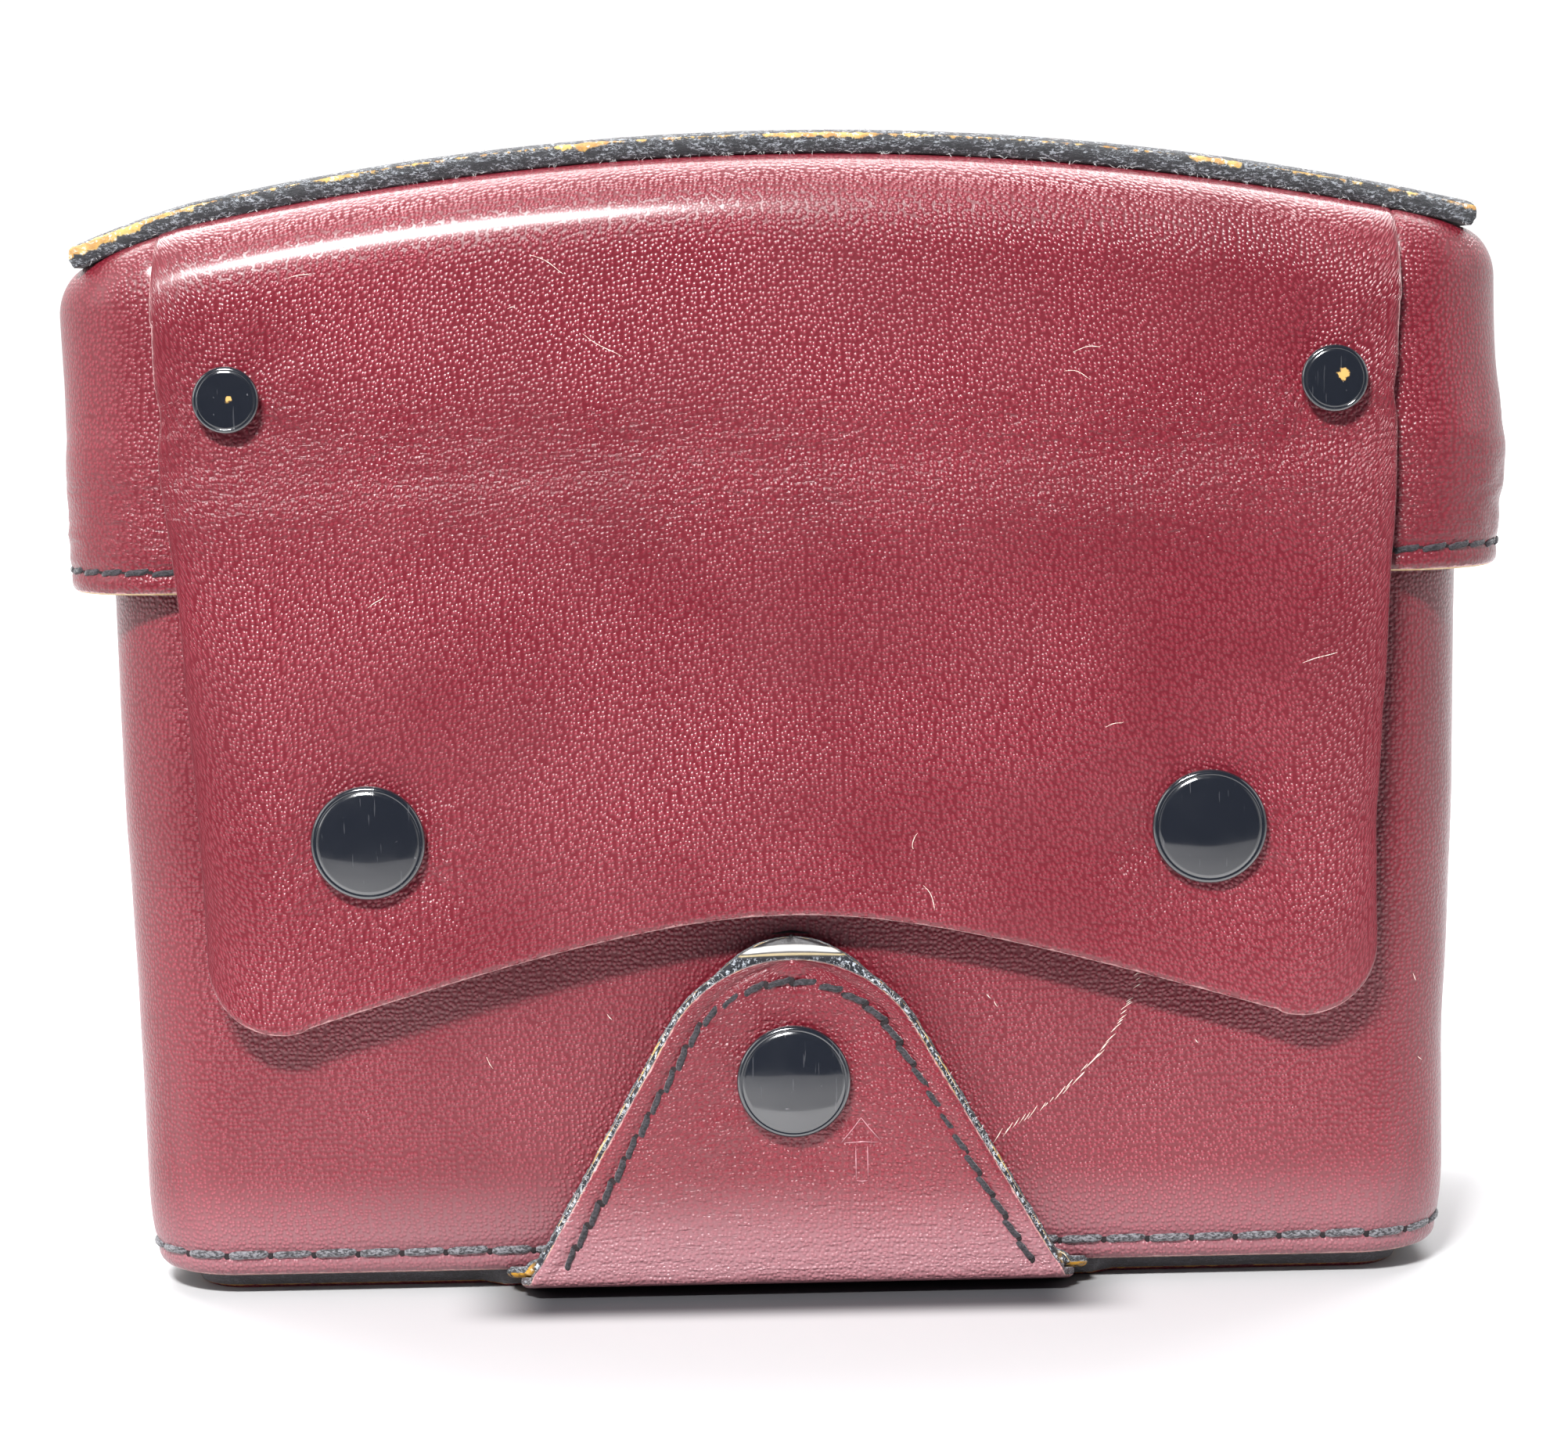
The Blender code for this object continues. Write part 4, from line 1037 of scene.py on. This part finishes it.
def seam(name, route, outward, pitch, radius, mats, body, node, slant=1.1):
    """A row of stitches: slanted strands, each with a needle hole at its end, close to the next one."""
    route = np.asarray(route, float)
    run = running_length(route[None], 1)[0]
    count = int(round(run[-1] / pitch))
    half = 0.5 * run[-1] / count
    tubes = Tubes()
    shares = np.linspace(-1, 1, 13)
    dive = np.abs(shares) ** 7
    for stitch in range(count):
        centre = (2 * stitch + 1) * half
        centres, normals = sample(route, outward, run, centre + shares * half * 1.04)
        along = unit(np.gradient(centres, axis=0))
        across = np.cross(normals, along)
        rise = radius * (0.30 * (1 - shares ** 4) - 1.5 * dive + 0.12 * RNG.normal())
        sway = radius * (slant * shares - 0.25 * slant * np.sin(shares * math.pi) + 0.12 * RNG.normal())
        centres = centres + normals * rise[:, None] + across * sway[:, None]
        girth = radius * (1.0 + 0.05 * RNG.normal() + 0.06 * np.sin(shares * 7 + stitch)) * (1 - 0.45 * dive)
        tubes.strand(centres, across, normals, girth, 9)
        hole, hole_normal = sample(route, outward, run, np.array([centre + half]))
        tubes.hole(hole[0], hole_normal[0], along[-1], radius)
    obj = new_mesh_object(name, tubes.verts, tubes.faces, tubes.kinds, mats)
    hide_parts(node)
    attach(obj, body)


class Tubes:
    """Closed tubes gathered for one mesh: strands of material 0 and needle holes of material 1."""

    def __init__(self):
        self.verts = []
        self.faces = []
        self.kinds = []

    def add(self, rings, kind):
        start = len(self.verts)
        faces = tube_faces(len(rings), len(rings[0]))
        self.verts += [point for ring in rings for point in ring]
        self.faces += [tuple(start + corner for corner in face) for face in faces]
        self.kinds += [kind] * len(faces)

    def strand(self, centres, across, normals, girth, sides):
        """A tube through the centres; girth is a radius for each of them."""
        angles = math.tau * np.arange(sides)[:, None] / sides
        rings = [centre + radius * (sideways * np.cos(angles) + 0.85 * normal * np.sin(angles))
                 for centre, sideways, normal, radius in zip(centres, across, normals, girth)]
        self.add(rings, 0)

    def hole(self, centre, normal, along, radius, sides=10):
        """A dark oval of painted shade where the needle hole is stretched open between two stitches."""
        angles = math.tau * np.arange(sides)[:, None] / sides
        oval = 0.8 * along * np.cos(angles) + 1.25 * np.cross(normal, along) * np.sin(angles)
        self.add([centre + radius * (oval * size + normal * lift)
                  for lift, size in ((-0.5, 1.3), (0.10, 1.1), (0.16, 0.6))], 1)


def sample(route, outward, run, where):
    """Points and directions at running lengths along a route."""
    where = np.clip(where, 0, run[-1])
    centres, normals = (np.stack([np.interp(where, run, line[:, i]) for i in range(3)], -1)
                        for line in (route, outward))
    return centres, unit(normals)


def row_at(points, relief, height, closed=False):
    """Surface points and outward directions along the grid row nearest a height, at the middle column."""
    normals = grid_normals(points, closed)
    surface = points + normals * relief[..., None]
    z = points[:, len(points[0]) // 2, 2]
    nearest = int(np.argmin(np.abs(z - height)))
    return surface[nearest], normals[nearest]


def build_seams(skirt, shell):
    dark = [dark_thread, needle_hole_shade]
    line, outward = row_at(*skirt, LID_HEM + HEM_STITCH)
    seam("lid_hem_stitches", line, outward, 3.15 * MM, 0.34 * MM, dark, "lid", "lid_hem_thread")
    line, outward = row_at(*shell, SHELL_BOTTOM + HEM_STITCH, closed=True)
    keep = np.flatnonzero(line[:, 1] < SHELL_BACK - 6 * MM)
    seam("body_hem_stitches", line[keep], outward[keep], 4.9 * MM, 0.46 * MM, [hem_thread, needle_hole_shade],
         "body", "body_hem_thread", slant=0.35)
    radius = TAB_TOP_R - TAB_STITCH_INSET
    top = TAB_TOP - TAB_STITCH_INSET
    centre = top - radius
    left = [(-float(tab_half_at(z, -TAB_STITCH_INSET, top)), z)
            for z in np.linspace(3.6 * MM, centre + radius * math.sin(TAB_LEAN), 24)]
    arch = [(-radius * math.cos(angle), centre + radius * math.sin(angle))
            for angle in np.linspace(TAB_LEAN, math.pi - TAB_LEAN, 40)[1:-1]]
    plan = left + arch + [(-x, z) for x, z in reversed(left)]
    route = np.array([(x, TAB_COVER_OUT + 0.24 * MM - tab_tilt(z), z) for x, z in plan])
    outward = np.tile([0.0, -1.0, 0.0], (len(route), 1))
    seam("tab_stitches", route, outward, 2.9 * MM, 0.36 * MM, dark, "tab", "tab_thread")


# ---------------------------------------------------------------- marks and fibres

def strokes(name, lines, radius, mat, body):
    """Thin half-sunk ridges along short lines on the front: scratches, tool marks and stray fibres."""
    tubes = Tubes()
    for line in lines:
        centres = np.asarray(line, float)
        along = unit(np.gradient(centres, axis=0))
        across = unit(np.cross((0.0, -1.0, 0.0), along))
        taper = np.sqrt(np.clip(1 - np.linspace(-0.9, 0.9, len(centres)) ** 2, 0.05, 1))
        tubes.strand(centres, across, np.cross(along, across), radius * taper, 5)
    obj = new_mesh_object(name, tubes.verts, tubes.faces, tubes.kinds, [mat])
    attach(obj, body)


def on_surface(points, grid, proud=0.02 * MM):
    """Points given as x, z in millimetres, moved in y onto the front of a sheet's grid."""
    surface, relief = grid
    front = surface[..., 1] < surface[..., 1].min() + 3 * MM
    xs, ys, zs = surface[front][:, 0], (surface[..., 1] - relief)[front], surface[front][:, 2]
    placed = []
    for x, z in points:
        nearest = int(np.argmin((xs - x * MM) ** 2 + (zs - z * MM) ** 2))
        placed.append((x * MM, ys[nearest] - proud, z * MM))
    return placed


ARROW_X = 7.3
ARROW = [[(-2.2, 17.6), (-0.9, 19.1), (0, 20.3)], [(2.2, 17.6), (0.9, 19.1), (0, 20.3)],
         [(-1.9, 17.5), (0, 17.6), (1.9, 17.5)], [(-0.65, 17.1), (-0.65, 15.3), (-0.65, 13.4)],
         [(0.65, 17.1), (0.65, 15.3), (0.65, 13.4)], [(-0.6, 13.2), (0, 13.1), (0.6, 13.2)]]


def build_marks(shell, flap, tab):
    """Scratches and tool marks, listed in millimetres (x, z) on the front of the sheets."""
    ticks = []
    start, bend, end = np.array([38.3, 35.0]), np.array([35.5, 24.0]), np.array([22.6, 17.2])
    for share in np.linspace(0, 1, 40):
        place = start * (1 - share) ** 2 + 2 * bend * share * (1 - share) + end * share ** 2
        place = place + RNG.normal(0, 0.12, 2)
        lean = np.array([0.45, 0.22 + 0.5 * share]) * (0.9 + 0.25 * RNG.normal())
        if RNG.random() > 0.12:
            ticks.append([place - lean, place + 0.1, place + lean])
    for x, z in ((21.5, 33.0), (22.3, 32.2), (44.5, 27.5), (-20.5, 31.5), (-34.0, 27.0), (69.0, 34.0),
                 (69.6, 24.5)):
        dx, dz = RNG.uniform(0.4, 1.4, 2) * (0.6, -1.0)
        ticks.append([(x, z), (x + dx * 0.5, z + dz * 0.6), (x + dx, z + dz)])
    strokes("body_scratches", [on_surface(tick, shell) for tick in ticks], 0.055 * MM, scratch, "body")
    # The dent above the tongue is drawn as a dark line of painted shade.
    dent = on_surface([(-2.1, 40.2), (0, 40.45), (2.2, 40.2)], shell)
    strokes("body_dent_mark", [dent], 0.16 * MM, needle_hole_shade, "body")

    lines = [on_surface([(ARROW_X + x, z) for x, z in line], tab) for line in ARROW]
    strokes("tab_arrow_mark", lines, 0.075 * MM, pressed_line, "tab")

    flap_marks = []
    for x, z, dx, dz, bow in (
            (-26.5, 115.0, 3.6, -2.0, 0.3), (-21.0, 106.5, 4.2, -2.6, -0.2), (-29.0, 109.3, 0.8, 0.2, 0.3),
            (14.5, 46.0, 1.2, -2.6, 0.3), (13.5, 50.0, 0.5, 1.6, -0.3), (31.5, 103.5, 3.0, 0.9, 0.5),
            (30.5, 101.5, 2.6, -0.6, 0.4), (25.5, 92.8, 0.2, -2.2, 0.1), (-45.0, 77.5, 1.8, 1.4, 0.3),
            (34.5, 63.0, 2.0, 0.7, 0.3), (-52.5, 113.0, 2.6, 0.6, 0.2), (56.0, 69.5, 3.8, 1.2, 0.2)):
        line = [(x + dx * t + bow * math.sin(t * math.pi), z + dz * t + 0.5 * bow * math.sin(t * 5))
                for t in np.linspace(0, 1, 9)]
        flap_marks.append((z, on_surface(line, flap, 0.0)))
    strokes("flap_scratches", [line for z, line in flap_marks if z < 92], 0.045 * MM, scratch, "flap")
    strokes("lid_scratches", [line for z, line in flap_marks if z > 96], 0.045 * MM, scratch, "lid")


def build_lint():
    """Loose fibres along the fuzzy cut edges of the lid's top and of the tongue."""
    fibres = []
    for _ in range(520):
        x = RNG.uniform(-TOP_HALF, TOP_HALF)
        upper = RNG.random() < 0.6
        z = float(arch_z(x)) - (0.2 * MM if upper else SPINE_T - 0.2 * MM)
        fibres.append(fibre_at(np.array([x, TOP_FRONT - 0.25 * MM, z]), 1 if upper else -1))
    strokes("lid_edge_lint", fibres, 0.022 * MM, lint_fibre, "lid")
    fibres = []
    for _ in range(260):
        z = RNG.uniform(7 * MM, TAB_TOP - 0.8 * MM)
        side = RNG.choice([-1, 1])
        x = side * (float(tab_half_at(z)) + 0.15 * MM)
        fibres.append(fibre_at(np.array([x, TAB_COVER_OUT + 0.4 * MM - float(tab_tilt(z)), z]), 1))
    strokes("tab_edge_lint", fibres, 0.022 * MM, lint_fibre, "tab")


def fibre_at(root, upwards):
    length = RNG.uniform(0.3, 0.95) * MM
    angle = RNG.uniform(0.1, math.pi - 0.1) * upwards
    heading = np.array([math.cos(angle), -0.35 * RNG.random(), math.sin(angle)]) * length
    curl = np.array([-heading[2], 0, heading[0]]) * RNG.uniform(-0.5, 0.5)
    return [root, root + heading * 0.5 + curl * 0.5, root + heading + curl * 0.2]


# ---------------------------------------------------------------- fasteners

def cap_profile(radius, dome, rim, thick):
    """Cap: a shallow crown that rolls over a small rounded rim and turns back under it."""
    inner = radius - rim
    crown = [(inner * share, thick + dome - dome * share ** 2.2) for share in np.linspace(0.02, 0.97, 18)]
    groove = [(inner * 0.985, thick - 0.07 * MM), (inner, thick - 0.05 * MM)]
    roll = [(inner + rim * math.sin(angle), thick - rim * 0.9 * (1 - math.cos(angle)))
            for angle in np.linspace(0.15, 2.5, 13)]
    lowest = roll[-1][1]
    under = [(radius * 0.9, lowest - 0.12 * MM), (radius * 0.35, lowest - 0.15 * MM)]
    return crown + groove + roll + under


def build_cap(node, mat, dome, rim, thick, body, seat):
    centre = middle(node)
    profile = cap_profile(half_width(node), dome, rim, thick)
    obj = lathe(node + "_finish", profile, (centre.x, seat - 0.1 * MM, centre.z), mat)
    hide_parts(node)
    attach(obj, body)


def build_fasteners():
    for node, body, seat in (("snap_cap_left", "flap", FLAP_OUT), ("snap_cap_right", "flap", FLAP_OUT),
                             ("snap_cap_tab", "tab", TAB_COVER_OUT)):
        build_cap(node, black_enamel, 0.62 * MM, 0.55 * MM, 1.2 * MM, body, seat)
    for node, dx, dz, spot in (("rivet_cap_left", 0.35 * MM, 0.1 * MM, 0.35 * MM),
                               ("rivet_cap_right", 0.9 * MM, 0.4 * MM, 0.62 * MM)):
        centre = middle(node)
        mat = enamel(node + "_enamel", (centre.x + dx, FLAP_OUT - 1.4 * MM, centre.z + dz), spot)
        build_cap(node, mat, 0.08 * MM, 0.45 * MM, 1.25 * MM, "lid", FLAP_OUT)


def finish_kept_nodes():
    for name, node in frame["nodes"].items():
        if "lining" in name:
            mat = lining
        elif name.startswith(("snap_stud", "snap_socket", "stud_post", "rivet_post")):
            mat = nickel
        else:
            continue
        node.data.materials.clear()
        node.data.materials.append(mat)


# ---------------------------------------------------------------- studio

def build_studio():
    scene = bpy.context.scene
    floor = new_mesh_object("studio_floor", *floor_shape(), [0], [floor_material()])
    scene.world = studio_world()
    # name, place, target, size, power
    area_light("key_light", (-0.17, -0.58, 0.62), (0, -0.03, 0.06), (0.20, 0.06), 13.4)
    area_light("top_softbox", (0.0, 0.20, 0.55), (0, -0.03, 0.12), (0.80, 0.26), 3.8)
    area_light("rim_strip", (0.0, 0.24, 0.46), (0, -0.03, 0.12), (0.80, 0.05), 3.4)
    area_light("table_bounce", (-0.02, -0.056, 0.0004), (-0.02, -0.056, 1.0), (0.30, 0.040), 0.05)
    area_light("left_softbox", (-0.62, -0.22, 0.36), (0, 0, 0.06), (0.35, 0.45), 1.1)
    area_light("right_softbox", (0.66, -0.10, 0.36), (0, 0, 0.06), (0.35, 0.45), 0.5)
    scene.view_settings.view_transform = 'Standard'


def studio_world():
    """White backdrop behind the case and at its sides, and a dimmer, cooler room on the camera's side."""
    world = bpy.data.worlds.new("studio_world")
    world.use_nodes = True
    s = Nodes(world.node_tree)
    direction = s.add("SeparateXYZ", {})
    s.put(s.add("TexCoord", {}).outputs["Generated"], direction.inputs[0])
    behind = s.remap(direction.outputs["Y"], -0.20, 0.50)
    wings = s.remap(s.math('ABSOLUTE', direction.outputs["X"]), 0.60, 0.95, 0.0, 0.85)
    tone = s.mix(s.math('MAXIMUM', behind, wings), (0.115, 0.135, 0.17), (1.10, 1.10, 1.10))
    s.put(tone, s.nodes["Background"].inputs["Color"])
    return world


def floor_shape():
    """A table top that ends a little in front of the case."""
    front, back, side = -0.20, 3.0, 3.0
    return [(-side, front, 0), (side, front, 0), (side, back, 0), (-side, back, 0)], [(0, 1, 2, 3)]


def floor_material():
    """Pale table with a painted contact shadow at the tongue's foot and painted shade in front of the case,
    lit up by a glow towards the backdrop to fade to white.
    """
    s = Shader("studio_floor")
    tone = s.mix(s.noise(3.0, 2.0), (0.50, 0.50, 0.505), (0.53, 0.53, 0.535))
    # Painted shadow: the table darkens to near black just in front of the tongue's foot.
    foot = float(tab_half_at(0.0))
    aside = s.remap(s.math('ABSOLUTE', s.x), foot - 4 * MM, foot + 9 * MM, 1, 0)
    ahead = s.remap(s.y, TAB_COVER_OUT - 9 * MM, TAB_COVER_OUT - 2 * MM)
    ahead = s.times(ahead, s.remap(s.y, 0.0, 12 * MM, 1, 0))
    tone = s.mix(s.times(s.times(aside, ahead), 0.95), tone, (0.03, 0.03, 0.035))
    # Painted shade: the table darkens in front of the case, out of view, so less bright table is reflected
    # in the leather.
    tone = s.mix(s.remap(s.y, -0.15, -0.085, 0.55, 0.0), tone, (0.10, 0.10, 0.11))
    glow = s.remap(s.y, 0.06, 0.45, 0.0, 0.9)
    return s.finish(tone, 0.6, Emission_Color=(1.0, 1.0, 1.0), Emission_Strength=glow)


def area_light(name, place, target, size, power):
    light = bpy.data.lights.new(name, 'AREA')
    light.shape = 'RECTANGLE'
    light.size, light.size_y = size
    light.energy = power
    obj = bpy.data.objects.new(name, light)
    bpy.context.scene.collection.objects.link(obj)
    obj.location = place
    obj.rotation_euler = (Vector(target) - Vector(place)).to_track_quat('-Z', 'Y').to_euler()


def build_camera():
    """Level with the lid, about 0.4 m away, tipped down a little and rolled by about a degree."""
    data = bpy.data.cameras.new("camera")
    data.sensor_width = 36
    data.lens = CAMERA_LENS
    obj = bpy.data.objects.new("camera", data)
    bpy.context.scene.collection.objects.link(obj)
    facing = Matrix.Rotation(math.radians(90 - CAMERA_TIP), 4, 'X')
    facing = facing @ Matrix.Rotation(math.radians(CAMERA_ROLL), 4, 'Z')
    obj.matrix_world = Matrix.Translation((CAMERA_X, FLAP_OUT - CAMERA_DISTANCE, CAMERA_HEIGHT)) @ facing
    bpy.context.scene.camera = obj


# ---------------------------------------------------------------- assembly

build_camera()
build_studio()
flap_grid = build_flap()
skirt_grid = build_skirt()
build_spine_upper()
shell_grid = build_shell()
build_spine_lower()
tab_grid = build_tab()
build_seams(skirt_grid, shell_grid)
build_fasteners()
build_marks(shell_grid, flap_grid, tab_grid)
build_lint()
finish_kept_nodes()
